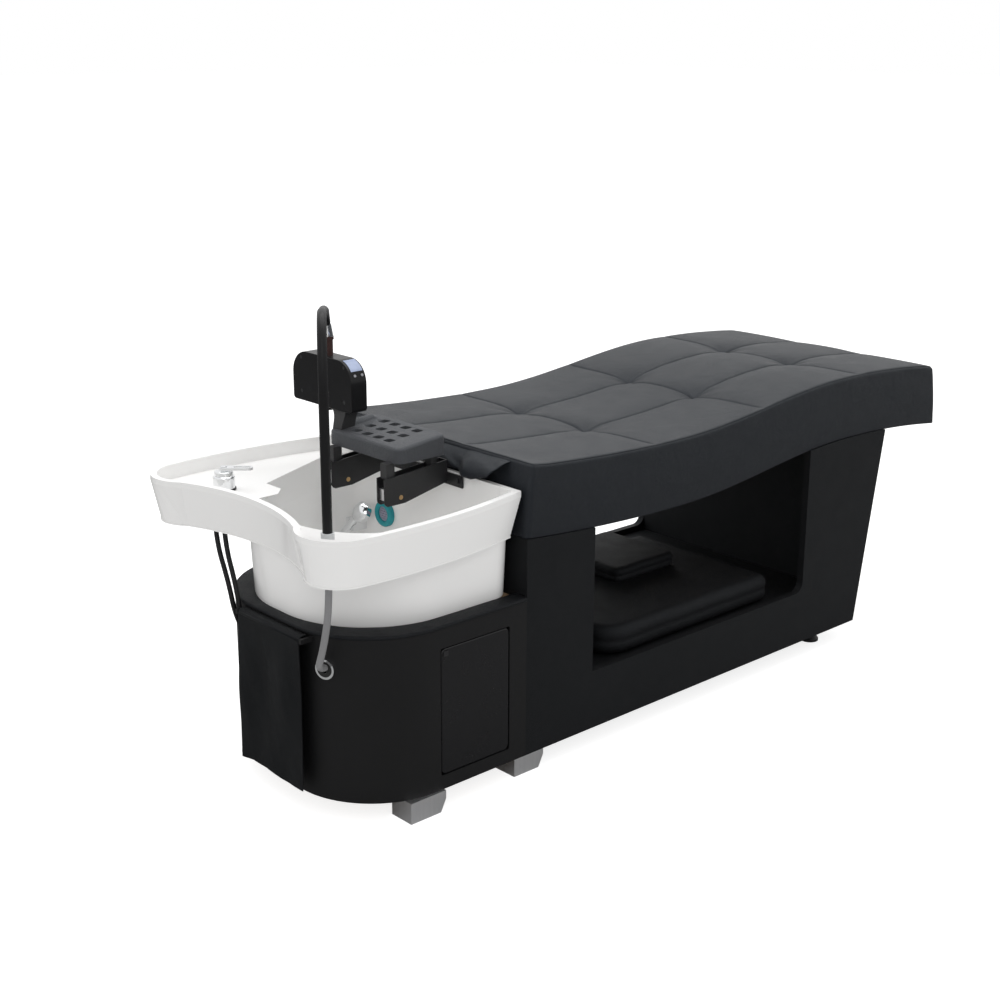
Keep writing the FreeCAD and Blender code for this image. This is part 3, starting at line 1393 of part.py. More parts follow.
def drain():
    floor = sheet.base_high + sheet.bowl_wall
    centre = Vector(sheet.drain_at, 0, floor)
    up = Vector(0, 0, 1)
    lip = sheet.gasket_high / 2
    barrel_low = centre - up * sheet.drain_deep
    inner = sheet.waste_radius - sheet.hood_wall
    flange = rod(sheet.drain_radius + sheet.drain_lip, centre, centre + up * lip).fuse(rod(sheet.drain_radius, barrel_low, centre))
    plate = rod(inner + sheet.drain_lap, centre + up * lip, centre + up * (2 * lip))
    plug = rod(inner - sheet.running_fit, centre - up * sheet.plug_deep, centre + up * lip)
    strainer_solid = plate.fuse(plug)
    holes = []
    for step in range(drain_hole_count):
        angle = 2 * math.pi * step / drain_hole_count
        spot = centre + Vector(math.cos(angle), math.sin(angle), 0) * (inner / 2)
        holes.append(rod(sheet.drain_hole, spot - up * sheet.overrun, spot + up * sheet.overrun))
    free("drain_strainer", strainer_solid.cut(Part.makeCompound(holes)))
    low = Vector(sheet.drain_at, 0, sheet.waste_low)
    pipe = rod(sheet.waste_radius, low, barrel_low)
    free("waste_pipe", pipe.fuse(flange).cut(rod(inner, low, centre + up * lip)))
    bore = rod(sheet.drain_radius + sheet.running_fit, barrel_low, centre)
    return bore, rod(sheet.waste_radius + sheet.waste_room, low, barrel_low)


def pump(end, facing):
    inward = facing * -1
    port_end = end + inward * sheet.port_long
    up = Vector(0, 0, 1)
    low = sheet.foot_high + sheet.panel_thick
    foot = Vector(port_end.x, port_end.y, low)
    port = rod(sheet.lower_radius - sheet.leg_lift, end, port_end)
    column_top = Vector(port_end.x, port_end.y, end.z + 1.5 * sheet.lower_radius)
    column = rod(sheet.lower_radius, foot + up * sheet.motor_high, column_top)
    motor = rod(sheet.motor_radius, foot, foot + up * sheet.motor_high)
    head_top = foot + up * sheet.pump_high
    head = rod(sheet.motor_radius * 0.8, foot + up * sheet.motor_high, head_top)
    free("circulation_pump", motor.fuse([head, port, column]))
    tank = brick(-sheet.tank_head, -sheet.tank_foot, sheet.tank_near, sheet.tank_far, low, low + sheet.tank_high)
    free("water_tank", softened(tank, sheet.tank_round, lambda edge: runs(edge, 2)))


def neck_flap():
    sections = []
    for share, drop in zip(flap_shares, flap_drop_shares):
        side = sheet.flap_half * share
        top = sheet.flap_top
        low = top - sheet.flap_drop * drop
        wave = sheet.flap_wave * math.cos(math.pi * flap_wave_count * share)
        lean = sheet.head_lean
        spots = []
        for part_share in flap_part_shares:
            high = top + (low - top) * part_share
            face = lean * (high - wave_low(0)) / sheet.cushion_deep - sheet.seat_gap
            out = (sheet.flap_out + wave) * part_share ** flap_bow
            spots.append(Vector(face - out, side, high))
        thick = Vector(-sheet.flap_thick, 0, 0)
        inner = arc(*spots)
        outer = arc(*[spot + thick for spot in reversed(spots)])
        sections.append(Part.Wire([inner, line(spots[2], spots[2] + thick), outer, line(spots[0] + thick, spots[0])]))
    free("neck_flap", lofted(sections, True))


# Shares of the whole
bend_share = 0.45
slot_round_share = 0.3
cheek_shares = (0, 0.12, 0.5, 0.88, 1)
cheek_rise_shares = (0.1, 0.8, 1, 0.8, 0.1)
bolt_shares = (0.35, 0.9)
display_span = (15, 55)
button_turn = 66
bracket_shares = ((0.3, 1.053, 0.813, 0.717, 0.95), (0.62, 1.027, 0.793, 0.7, 0.958),
                  (0.85, 0.993, 0.773, 0.683, 1), (1, 0.98, 0.747, 0.667, 1.067))
hot_hose_shares = ((0.8448, 0.3261, 1), (0.8448, 0.3261, 0.8596), (0.8841, 0.1807, 0.7343),
                   (0.8866, 0.1415, 0.6328), (0.8566, 0.1336, 0.5618), (0.7701, 0.1238, 0.5144),
                   (0.7701, 0.1238, 0.4315))
cold_hose_shares = ((0.8399, 0.2672, 1), (0.8399, 0.2672, 0.8596), (0.8841, 0.1257, 0.7343),
                    (0.8866, 0.0982, 0.6328), (0.8566, 0.0943, 0.5618), (0.7701, 0.0864, 0.5144),
                    (0.7701, 0.0864, 0.4315))
loop_shares = (0, 0.104, 0.29, 0.52, 0.75)
loop_rise_shares = (0.56, 1, 0.885, 0.757, 0.57)
lever_turn = -42
spray_tilt = 30
holder_share = 0.5
flap_shares = (-1, -0.85, -0.7, -0.55, -0.4, -0.2, 0, 0.2, 0.4, 0.55, 0.7, 0.85, 1)
flap_drop_shares = (0.45, 0.9, 1, 0.85, 0.8, 0.8, 0.8, 0.8, 0.8, 0.85, 1, 0.9, 0.45)
flap_part_shares = (0, 0.5, 1)
flap_bow = 1.5
flap_wave_count = 4
drain_hole_count = 6

headrest()
shanks = headrest_mount()
hood()
hood_inlet()
plate_solid = doc.getObject("plate_blank_fillet001").Shape
hood_bracket(plate_solid)
riser_solid = riser()
hood_hose()
spot, facing = grommet()
pump(lower_hose(spot, facing), facing)
stubs = supply_hoses()
faucet_shank = faucet()
strainer_bore = strainer()
hand_shower()
drain_bore, waste_bore = drain()
neck_flap()
basin_bores = [riser_solid, faucet_shank, strainer_bore, drain_bore] + shanks
free("basin", basin().cut(Part.makeCompound(basin_bores)))
less("cabinet_floor", doc.getObject("floor_blank"), cutter("floor_bores", Part.makeCompound([waste_bore] + stubs)))


def write_parts():
    doc.recompute()
    for one in doc.Objects:
        if "Invalid" in one.State or "Error" in one.State:
            raise RuntimeError(f"{one.Label} is {one.State}")
    os.makedirs("parts", exist_ok=True)
    for part in made_parts:
        if part.Shape.isNull() or not part.Shape.isValid():
            raise RuntimeError(f"{part.Label} has no valid shape")
        part.Shape.exportStep(f"parts/{part.Label}.step")
        solids = len(part.Shape.Solids)
        print(part.Label, solids, "solids", round(part.Shape.Volume), "mm3", part.Shape.BoundBox)


write_parts()
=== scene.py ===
import bpy
import bmesh
import json
import math
from mathutils import Matrix, Vector, noise


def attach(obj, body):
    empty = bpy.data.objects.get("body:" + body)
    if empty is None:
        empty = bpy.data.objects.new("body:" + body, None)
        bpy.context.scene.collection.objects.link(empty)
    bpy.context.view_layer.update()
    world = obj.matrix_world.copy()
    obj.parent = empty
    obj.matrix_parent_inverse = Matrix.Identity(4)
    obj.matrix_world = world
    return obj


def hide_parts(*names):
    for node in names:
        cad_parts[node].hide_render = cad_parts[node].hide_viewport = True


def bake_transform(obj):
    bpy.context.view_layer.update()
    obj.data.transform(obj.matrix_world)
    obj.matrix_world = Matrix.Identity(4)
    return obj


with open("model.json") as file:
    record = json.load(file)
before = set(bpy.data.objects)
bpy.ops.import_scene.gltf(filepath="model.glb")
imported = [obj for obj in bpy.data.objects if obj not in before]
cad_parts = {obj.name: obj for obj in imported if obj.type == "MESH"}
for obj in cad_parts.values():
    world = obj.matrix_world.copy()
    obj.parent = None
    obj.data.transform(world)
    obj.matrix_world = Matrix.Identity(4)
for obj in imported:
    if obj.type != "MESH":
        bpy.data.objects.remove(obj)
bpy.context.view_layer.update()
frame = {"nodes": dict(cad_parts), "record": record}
nodes = frame["nodes"]
print("frame loaded", len(nodes), "nodes")

jointAt = -0.490  # where the bed meets the cabinet, counted along X from the middle of the object
hair = 1e-6  # places closer than this are taken as one


def spot(x, y, z):
    return Vector((jointAt + x, y, z))


# short ways to add shader nodes and to join them
def addNode(tree, kind, inputs=None, **settings):
    node = tree.nodes.new(kind)
    for key, value in settings.items():
        setattr(node, key, value)
    for key, value in (inputs or {}).items():
        socket = node.inputs[key]
        if isinstance(value, bpy.types.NodeSocket):
            tree.links.new(value, socket)
        else:
            socket.default_value = value
    return node


def paint(color):
    return (color[0], color[1], color[2], 1.0)


def coords(tree, stretch):
    where = addNode(tree, "ShaderNodeTexCoord")
    mapped = addNode(tree, "ShaderNodeMapping", {"Vector": where.outputs["Object"], "Scale": stretch})
    return mapped.outputs["Vector"]


def ramp(tree, factor, low, high, lowColor=(0, 0, 0), highColor=(1, 1, 1)):
    node = addNode(tree, "ShaderNodeValToRGB", {"Fac": factor})
    node.color_ramp.elements[0].position = low
    node.color_ramp.elements[1].position = high
    node.color_ramp.elements[0].color = paint(lowColor)
    node.color_ramp.elements[1].color = paint(highColor)
    return node.outputs["Color"]


def spread(tree, factor, low, high):
    node = addNode(tree, "ShaderNodeMapRange", {"Value": factor, "To Min": low, "To Max": high})
    return node.outputs["Result"]


def blendColors(tree, factor, first, second):
    node = addNode(tree, "ShaderNodeMix", data_type="RGBA")
    for key, value in ((0, factor), (6, first), (7, second)):
        if isinstance(value, bpy.types.NodeSocket):
            tree.links.new(value, node.inputs[key])
        else:
            node.inputs[key].default_value = value
    return node.outputs[2]


def bumpOn(tree, height, distance, before=None):
    node = addNode(tree, "ShaderNodeBump", {"Height": height, "Distance": distance, "Strength": 1.0})
    if before is not None:
        tree.links.new(before, node.inputs["Normal"])
    return node.outputs["Normal"]


# what a finish has when its own look says nothing else
plainLook = {
    "metal": 0, "coat": 0, "coatRough": 0.1, "specular": 0.5, "tint": (1, 1, 1), "stretch": (1, 1, 1),
    "cloudDetail": 4, "wearDetail": 5, "poreEdge": 0.25, "foldDetail": 6, "foldTwist": 1.4,
    "speckDetail": 3, "swayDetail": 2, "ringTwist": 7, "ringDetail": 3, "hazeDetail": 2,
}


def newMaterial(name, look):
    material = bpy.data.materials.new(name)
    material.use_nodes = True
    tree = material.node_tree
    shader = tree.nodes["Principled BSDF"]
    shader.inputs["Metallic"].default_value = look["metal"]
    shader.inputs["Coat Weight"].default_value = look["coat"]
    shader.inputs["Coat Roughness"].default_value = look["coatRough"]
    shader.inputs["Specular IOR Level"].default_value = look["specular"]
    shader.inputs["Specular Tint"].default_value = paint(look["tint"])
    where = coords(tree, look["stretch"])
    cloud = addNode(tree, "ShaderNodeTexNoise",
                    {"Vector": where, "Scale": look["cloud"], "Detail": look["cloudDetail"]})
    toned = blendColors(tree, cloud.outputs["Fac"], paint(look["dark"]), paint(look["light"]))
    tree.links.new(toned, shader.inputs["Base Color"])
    wear = addNode(tree, "ShaderNodeTexNoise",
                   {"Vector": where, "Scale": look["wear"], "Detail": look["wearDetail"]})
    rough = spread(tree, wear.outputs["Fac"], look["rough"][0], look["rough"][1])
    tree.links.new(rough, shader.inputs["Roughness"])
    return material, tree, shader, where


def leather(name, look):
    look = {**plainLook, **look}
    material, tree, shader, where = newMaterial(name, look)
    pores = addNode(tree, "ShaderNodeTexVoronoi", {"Vector": where, "Scale": look["grain"]},
                    feature="DISTANCE_TO_EDGE")
    pebble = ramp(tree, pores.outputs["Distance"], 0.0, look["poreEdge"])
    normal = bumpOn(tree, pebble, look["grainDeep"])
    folds = addNode(tree, "ShaderNodeTexNoise",
                    {"Vector": where, "Scale": look["fold"], "Detail": look["foldDetail"],
                     "Distortion": look["foldTwist"]})
    normal = bumpOn(tree, folds.outputs["Fac"], look["foldDeep"], normal)
    tree.links.new(normal, shader.inputs["Normal"])
    return material


def moulded(name, look):
    look = {**plainLook, **look}
    material, tree, shader, where = newMaterial(name, look)
    speck = addNode(tree, "ShaderNodeTexNoise",
                    {"Vector": where, "Scale": look["grain"], "Detail": look["speckDetail"]})
    normal = bumpOn(tree, speck.outputs["Fac"], look["grainDeep"])
    sway = addNode(tree, "ShaderNodeTexNoise",
                   {"Vector": where, "Scale": look["fold"], "Detail": look["swayDetail"]})
    normal = bumpOn(tree, sway.outputs["Fac"], look["foldDeep"], normal)
    tree.links.new(normal, shader.inputs["Normal"])
    return material


def planks(name, look):
    look = {**plainLook, **look}
    material, tree, shader, where = newMaterial(name, look)
    rings = addNode(tree, "ShaderNodeTexWave",
                    {"Vector": where, "Scale": look["grain"], "Distortion": look["ringTwist"],
                     "Detail": look["ringDetail"]})
    tinted = blendColors(tree, rings.outputs["Fac"], paint(look["dark"]), paint(look["light"]))
    tree.links.new(tinted, shader.inputs["Base Color"])
    tree.links.new(bumpOn(tree, rings.outputs["Fac"], look["grainDeep"]), shader.inputs["Normal"])
    return material


def glowing(name, look):
    look = {**plainLook, **look}
    material, tree, shader, where = newMaterial(name, look)
    haze = addNode(tree, "ShaderNodeTexNoise",
                   {"Vector": where, "Scale": look["fold"], "Detail": look["hazeDetail"]})
    lit = blendColors(tree, haze.outputs["Fac"], paint(look["dark"]), paint(look["light"]))
    tree.links.new(lit, shader.inputs["Emission Color"])
    shader.inputs["Emission Strength"].default_value = look["glow"]
    return material


leatherLook = {
    "dark": (0.0050, 0.0060, 0.0084), "light": (0.0086, 0.0098, 0.0128), "rough": (0.40, 0.52),
    "specular": 0.34, "tint": (0.86, 0.93, 1.0), "cloud": 5, "wear": 18,
    "grain": 820, "grainDeep": 0.00022, "fold": 34, "foldDeep": 0.0012,
}
panelLook = dict(leatherLook, dark=(0.0034, 0.0034, 0.0038), light=(0.0058, 0.0058, 0.0064),
                 rough=(0.5, 0.64), specular=0.22, fold=16, foldDeep=0.0007)
padLook = dict(leatherLook, dark=(0.0045, 0.0045, 0.005), light=(0.0075, 0.0075, 0.0085),
               rough=(0.5, 0.66), specular=0.22)
apronLook = dict(leatherLook, dark=(0.0032, 0.0034, 0.0038), light=(0.0058, 0.006, 0.0066),
                 rough=(0.5, 0.64), specular=0.16, fold=12, foldDeep=0.0006)
restLook = dict(leatherLook, dark=(0.036, 0.037, 0.041), light=(0.058, 0.059, 0.064),
                rough=(0.46, 0.6), specular=0.5, grain=430, grainDeep=0.0005, fold=70, foldDeep=0.0012)
cabinetLook = {
    "dark": (0.0042, 0.0042, 0.0046), "light": (0.0072, 0.0072, 0.0078), "rough": (0.44, 0.56),
    "specular": 0.25, "cloud": 4, "wear": 14, "grain": 900, "grainDeep": 0.00008, "fold": 9,
    "foldDeep": 0.0006,
}
doorLook = dict(cabinetLook, dark=(0.0046, 0.0046, 0.0054), light=(0.0066, 0.0066, 0.0076),
                rough=(0.22, 0.32), coat=0.12, coatRough=0.12, foldDeep=0.0002)
basinLook = {
    "dark": (0.905, 0.899, 0.888), "light": (0.93, 0.926, 0.917), "rough": (0.10, 0.18),
    "coat": 0.1, "coatRough": 0.05, "specular": 0.32, "cloud": 3, "wear": 9,
    "grain": 240, "grainDeep": 0.00004, "fold": 5, "foldDeep": 0.0006,
}
matteLook = {
    "dark": (0.0095, 0.0095, 0.0105), "light": (0.0165, 0.0165, 0.018), "rough": (0.5, 0.66),
    "cloud": 20, "wear": 60, "grain": 1500, "grainDeep": 0.00025, "fold": 60, "foldDeep": 0.0002,
}
hoodLook = dict(matteLook, dark=(0.0045, 0.0045, 0.005), light=(0.008, 0.008, 0.009),
                rough=(0.24, 0.36), grainDeep=0.00006, coat=0.05, coatRough=0.15, specular=0.16)
hoseLook = dict(matteLook, dark=(0.006, 0.006, 0.0065), light=(0.009, 0.009, 0.010),
                rough=(0.36, 0.5), grain=700, grainDeep=0.0001, specular=0.2)
greyHoseLook = dict(hoseLook, dark=(0.20, 0.20, 0.205), light=(0.27, 0.27, 0.275), rough=(0.42, 0.56))
chromeLook = {
    "dark": (0.74, 0.75, 0.76), "light": (0.84, 0.85, 0.86), "rough": (0.05, 0.13), "metal": 1.0,
    "cloud": 12, "wear": 70, "grain": 500, "grainDeep": 0.00001, "fold": 30, "foldDeep": 0.00004,
}
silverLook = dict(chromeLook, dark=(0.76, 0.76, 0.77), light=(0.88, 0.88, 0.89), rough=(0.24, 0.40),
                  stretch=(14, 14, 1), grain=160, grainDeep=0.00004)
brassLook = dict(silverLook, dark=(0.42, 0.27, 0.12), light=(0.55, 0.37, 0.18))
steelLook = dict(matteLook, dark=(0.012, 0.012, 0.013), light=(0.022, 0.022, 0.024),
                 rough=(0.32, 0.48), metal=0.3)
greyLook = dict(matteLook, dark=(0.50, 0.51, 0.52), light=(0.58, 0.59, 0.60), rough=(0.32, 0.42),
                grainDeep=0.00005)
tealLook = dict(hoodLook, dark=(0.02, 0.26, 0.30), light=(0.04, 0.34, 0.37), rough=(0.2, 0.3))
lilacLook = dict(greyLook, dark=(0.30, 0.29, 0.38), light=(0.38, 0.37, 0.46))
stemLook = dict(hoodLook, dark=(0.028, 0.010, 0.009), light=(0.05, 0.018, 0.015), rough=(0.08, 0.16),
                coat=0.8)
tankLook = dict(greyLook, dark=(0.52, 0.52, 0.50), light=(0.62, 0.62, 0.60), rough=(0.4, 0.5))
pumpLook = dict(matteLook, dark=(0.03, 0.03, 0.033), light=(0.05, 0.05, 0.054))
sealLook = dict(matteLook, dark=(0.006, 0.006, 0.006), light=(0.01, 0.01, 0.01))
woodLook = {
    "dark": (0.24, 0.15, 0.085), "light": (0.40, 0.28, 0.17), "rough": (0.5, 0.66), "cloud": 4,
    "wear": 30, "grain": 9, "grainDeep": 0.0002, "stretch": (1, 8, 8),
}
screenLook = dict(hoodLook, dark=(0.10, 0.13, 0.22), light=(0.46, 0.52, 0.68), rough=(0.1, 0.16),
                  fold=46, glow=0.34)
dotLook = dict(screenLook, dark=(0.22, 0.22, 0.24), light=(0.34, 0.34, 0.36), glow=0.1)

materials = {
    "black_leather": leather("blackLeather", leatherLook),
    "black_panel": leather("coveredPanel", panelLook),
    "pad_leather": leather("padLeather", padLook),
    "apron_leather": leather("apronLeather", apronLook),
    "rest_rubber": leather("restRubber", restLook),
    "cabinet_black": leather("cabinetCover", cabinetLook),
    "door_black": moulded("doorGloss", doorLook),
    "basin_white": moulded("basinWhite", basinLook),
    "matte_black": moulded("matteBlack", matteLook),
    "hood_black": moulded("hoodBlack", hoodLook),
    "hose_black": moulded("hoseBlack", hoseLook),
    "hose_grey": moulded("hoseGrey", greyHoseLook),
    "bright_chrome": moulded("brightChrome", chromeLook),
    "silver_metal": moulded("silverMetal", silverLook),
    "pin_brass": moulded("pinBrass", brassLook),
    "fitting_brass": moulded("fittingBrass", brassLook),
    "frame_steel": moulded("frameSteel", steelLook),
    "black_metal": moulded("blackMetal", steelLook),
    "light_grey": moulded("lightGrey", greyLook),
    "teal_ring": moulded("tealRing", tealLook),
    "lilac_grey": moulded("lilacGrey", lilacLook),
    "smoky_stem": moulded("smokyStem", stemLook),
    "tank_white": moulded("tankWhite", tankLook),
    "pump_grey": moulded("pumpGrey", pumpLook),
    "seal_black": moulded("sealBlack", sealLook),
    "plywood": planks("plywood", woodLook),
    "display_glass": glowing("displayGlass", screenLook),
    "button_light": glowing("buttonLight", dotLook),
}

# pieces whose finish differs a little from the rest of their slot
ownFinish = {"headrest_plate": "rest_rubber", "door_pull": "black_metal", "apron_rail": "cabinet_black"}
slotOf = {entry["node"]: entry["material_slot"] for entry in frame["record"]["subparts"]}
for name, node in nodes.items():
    look = materials[ownFinish.get(name, slotOf[name])]
    for place in range(len(node.material_slots)):
        node.material_slots[place].material = look
print("materials assigned")


def finishPiece(name, bm, materialName, body, smooth=True):
    mesh = bpy.data.meshes.new(name)
    bmesh.ops.recalc_face_normals(bm, faces=bm.faces)
    bm.to_mesh(mesh)
    bm.free()
    piece = bpy.data.objects.new(name, mesh)
    bpy.context.scene.collection.objects.link(piece)
    mesh.materials.append(materials[materialName])
    for face in mesh.polygons:
        face.use_smooth = smooth
    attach(piece, body)
    return piece


def softNoise(place, scale):
    # smooth noise from -1 to 1, finer where the scale is larger
    return noise.noise(Vector([value * size for value, size in zip(place, scale)]))


def past(value, start, run):
    # nothing up to the start, then growing by one for each run
    return max(0, (value - start) / run)


# the cushion and the loose pads are blocks of cells, small beside a seam or an edge and larger between
def stationsBetween(seams, fine, coarse):
    places = []
    for start, stop in zip(seams, seams[1:]):
        room = stop - start - 2 * fine[-1]
        count = max(1, math.ceil(room / coarse))
        places += [start + step for step in fine]
        places += [start + fine[-1] + room * step / count for step in range(1, count)]
        places += [stop - step for step in reversed(fine[1:])]
    return places + [seams[-1]]


def evenStations(start, stop, count):
    return [start + (stop - start) * step / count for step in range(count + 1)]


def gridBlock(xs, ys, zs):
    bm = bmesh.new()
    bmesh.ops.create_cube(bm, size=1)
    for axis, places in enumerate((xs, ys, zs)):
        along = [edge for edge in bm.edges
                 if abs(edge.verts[0].co[axis] - edge.verts[1].co[axis]) > 0.5]
        bmesh.ops.subdivide_edges(bm, edges=along, cuts=len(places) - 2, use_grid_fill=True)
    for vert in bm.verts:
        for axis, places in enumerate((xs, ys, zs)):
            vert.co[axis] = places[round((vert.co[axis] + 0.5) * (len(places) - 1))]
    return bm


outward = {"head": (-1, 0), "foot": (1, 0), "near": (0, -1), "far": (0, 1)}  # away from the middle, in plan


def allCorners(radius):
    return {(end, side): radius for end in ("head", "foot") for side in ("near", "far")}


def roundedSpot(point, low, high, corners, edge, bottomEdge):
    # plan corners are pressed round first, then the top and bottom edges
    x, y, z = point
    gaps = {"head": x - low[0], "foot": high[0] - x, "near": y - low[1], "far": high[1] - y}
    inset = min(gaps.values())
    out = Vector(outward[min(gaps, key=gaps.get)])
    for (alongSide, acrossSide), radius in corners.items():
        p, q = radius - gaps[alongSide], radius - gaps[acrossSide]
        if p > 0 and q > 0:
            most, length = max(p, q), math.hypot(p, q)
            signX = 1 if alongSide == "foot" else -1
            signY = 1 if acrossSide == "far" else -1
            centreX = high[0] - radius if signX > 0 else low[0] + radius
            centreY = high[1] - radius if signY > 0 else low[1] + radius
            out = Vector((signX * p, signY * q)) / length
            x, y = centreX + out.x * most, centreY + out.y * most
            inset = radius - most
    for radius, drop, sign in ((edge, high[2] - z, -1), (bottomEdge, z - low[2], 1)):
        if radius and drop < radius and inset < radius:
            p, q = radius - inset, radius - drop
            length = math.hypot(p, q)
            newInset, newDrop = radius - p / length * radius, radius - q / length * radius
            x -= out.x * (newInset - inset)
            y -= out.y * (newInset - inset)
            z = high[2] - newDrop if sign < 0 else low[2] + newDrop
            break
    return Vector((x, y, z)), out, inset


bed = {
    # the block and its wave, lengths counted from the head end
    "reach": 1.489, "half": 0.328, "deep": 0.157, "dipAt": 0.480, "crestAt": 1.085, "dipTop": 0.662,
    "headRise": 0.026, "crestRise": 0.048, "endFall": 0.028,
    "headLean": 0.016, "footLean": 0.026, "leanWide": 0.06,
    # cells
    "fine": (0, 0.0018, 0.0036, 0.0058, 0.009, 0.014, 0.021, 0.030), "cell": 0.0125,
    "lowRows": (0, 0.0016, 0.0034, 0.0052), "wallRows": 9, "wallFrom": 0.014, "wallTo": 0.016,
    "topRows": (0.0104, 0.0082, 0.0062, 0.0042, 0.002, 0),
    # edges and sides
    "edge": 0.009, "corner": 0.009, "bottomEdge": 0.002, "sewn": 0.0016, "hemWide": 0.03,
    "sideBulge": 0.003, "bulgeWide": 0.02, "crumple": 0.0009, "crumpleScale": (14, 14, 30),
    # seams and the fill between them
    "seams": (0.390, 0.765, 1.138), "seamSide": 0.108, "puff": 0.0055, "seamFall": 0.045, "edgeFall": 0.07,
    "groove": 0.0022, "grooveWide": 0.0030, "pull": 0.0022, "pullWide": 0.018,
    "ripple": 0.0009, "rippleWide": 0.032, "rippleScale": (42, 9, 3.7),
    "soft": 0.0012, "softScale": (7, 7, 0.5),
    # tufts where the seams cross, with folds running out of them
    "tuft": 0.0165, "tuftWide": 0.034, "tuftRound": 0.005, "tuftReach": 0.25,
    "foldDeep": 0.0016, "foldCount": (6, 9), "foldShift": 9, "foldShare": 0.6,
    "foldFall": 0.05, "foldStart": 0.014,
}


def waveTop(at):
    if at < bed["dipAt"]:
        return bed["dipTop"] + bed["headRise"] * (1 - at / bed["dipAt"]) ** 2
    if at < bed["crestAt"]:
        share = (at - bed["dipAt"]) / (bed["crestAt"] - bed["dipAt"])
        return bed["dipTop"] + bed["crestRise"] * (1 - math.cos(math.pi * share)) / 2
    share = (at - bed["crestAt"]) / (bed["reach"] - bed["crestAt"])
    return bed["dipTop"] + bed["crestRise"] - bed["endFall"] * share ** 2


def quilted(x, y):
    # how far the sewn top stands above or below its plain wave
    toSeam = min(abs(x - seam) for seam in bed["seams"])
    toLong = abs(abs(y) - bed["seamSide"])
    toEnd = min(x, bed["reach"] - x)
    toSide = bed["half"] - abs(y)
    full = (1 - math.exp(-toSeam / bed["seamFall"])) * (1 - math.exp(-toLong / bed["seamFall"]))
    full *= (1 - math.exp(-toEnd / bed["edgeFall"])) * (1 - math.exp(-toSide / bed["edgeFall"]))
    rise = bed["puff"] * full
    inside = min(1, toSide / bed["hemWide"]) * min(1, toEnd / bed["hemWide"])
    for gap, other in ((toSeam, y), (toLong, x)):
        rise -= inside * bed["groove"] * math.exp(-(gap / bed["grooveWide"]) ** 2)
        rise -= inside * bed["pull"] * math.exp(-gap / bed["pullWide"])
        ripple = softNoise((other, gap, 1), bed["rippleScale"])
        rise += inside * bed["ripple"] * math.exp(-gap / bed["rippleWide"]) * ripple
    few, many = bed["foldCount"]
    for place, seam in enumerate(bed["seams"]):
        for side in (-bed["seamSide"], bed["seamSide"]):
            dx, dy = x - seam, y - side
            away = math.hypot(dx, dy)
            if away < bed["tuftReach"]:
                rise -= bed["tuft"] * math.exp(-math.hypot(away, bed["tuftRound"]) / bed["tuftWide"])
                turn = math.atan2(dy, dx)
                shape = math.cos(few * turn + place + bed["foldShift"] * side)
                shape += bed["foldShare"] * math.cos(many * turn + 2 * place)
                fade = math.exp(-away / bed["foldFall"]) * (1 - math.exp(-away / bed["foldStart"]))
                rise += bed["foldDeep"] * fade * shape
    rise += bed["soft"] * inside * softNoise((x, y, 1), bed["softScale"])
    return rise


def buildCushion():
    reach, half, deep, side = bed["reach"], bed["half"], bed["deep"], bed["seamSide"]
    xs = stationsBetween([0, *bed["seams"], reach], bed["fine"], bed["cell"])
    ys = stationsBetween([-half, -side, side, half], bed["fine"], bed["cell"])
    zs = [*bed["lowRows"], *evenStations(bed["wallFrom"], deep - bed["wallTo"], bed["wallRows"])]
    zs += [deep - drop for drop in bed["topRows"]]
    bm = gridBlock(xs, ys, zs)
    low, high, corners = (0, -half, 0), (reach, half, deep), allCorners(bed["corner"])
    for vert in bm.verts:
        base = vert.co.copy()
        point, out, inset = roundedSpot(base, low, high, corners, bed["edge"], bed["bottomEdge"])
        share = point.z / deep
        onTop = base.z >= deep - hair
        swell = bed["sideBulge"] * math.sin(math.pi * min(1, max(0, share)))
        swell *= max(0, 1 - inset / bed["bulgeWide"])
        crumple = bed["crumple"] * softNoise(point, bed["crumpleScale"])
        if base.z > hair and inset < bed["edge"]:
            point.x += out.x * (swell + crumple)
            point.y += out.y * (swell + crumple)
        if inset < hair and onTop:
            point -= Vector((out.x, out.y, 1)) * bed["sewn"]
        rise = quilted(base.x, base.y) if onTop else 0
        headFade = max(0, 1 - base.x / bed["leanWide"])
        footFade = max(0, 1 - (reach - base.x) / bed["leanWide"])
        shift = (bed["headLean"] * headFade - bed["footLean"] * footFade) * share
        bottom = waveTop(min(max(point.x, 0), reach)) - deep
        vert.co = spot(point.x + shift, point.y, bottom + point.z + rise)
    piece = finishPiece("quiltedCushion", bm, "black_leather", "bed")
    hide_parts("cushion")


buildCushion()
print("cushion done")

loosePads = {
    "storage_pad": {
        "low": (0.292, -0.285, 0.165), "high": (0.874, 0.150, 0.236), "edge": 0.022, "crown": 0.004,
        "corners": {**allCorners(0.024), ("head", "near"): 0.070}, "body": "large_pad",
    },
    "storage_pad_small": {
        "low": (0.530, -0.090, 0.2365), "high": (0.742, 0.146, 0.275), "edge": 0.012, "crown": 0.002,
        "corners": allCorners(0.022), "body": "small_pad",
    },
}
padCover = {
    "fine": (0, 0.003, 0.007, 0.012, 0.019, 0.028), "cell": 0.016, "rows": 14,
    "seam": 0.0022, "seamAt": 0.5, "seamWide": 0.07, "fold": 0.0012, "foldScale": (22, 22, 18),
    "ripple": 0.0016, "rippleWide": 0.03, "rippleScale": (9, 9, 2),
}


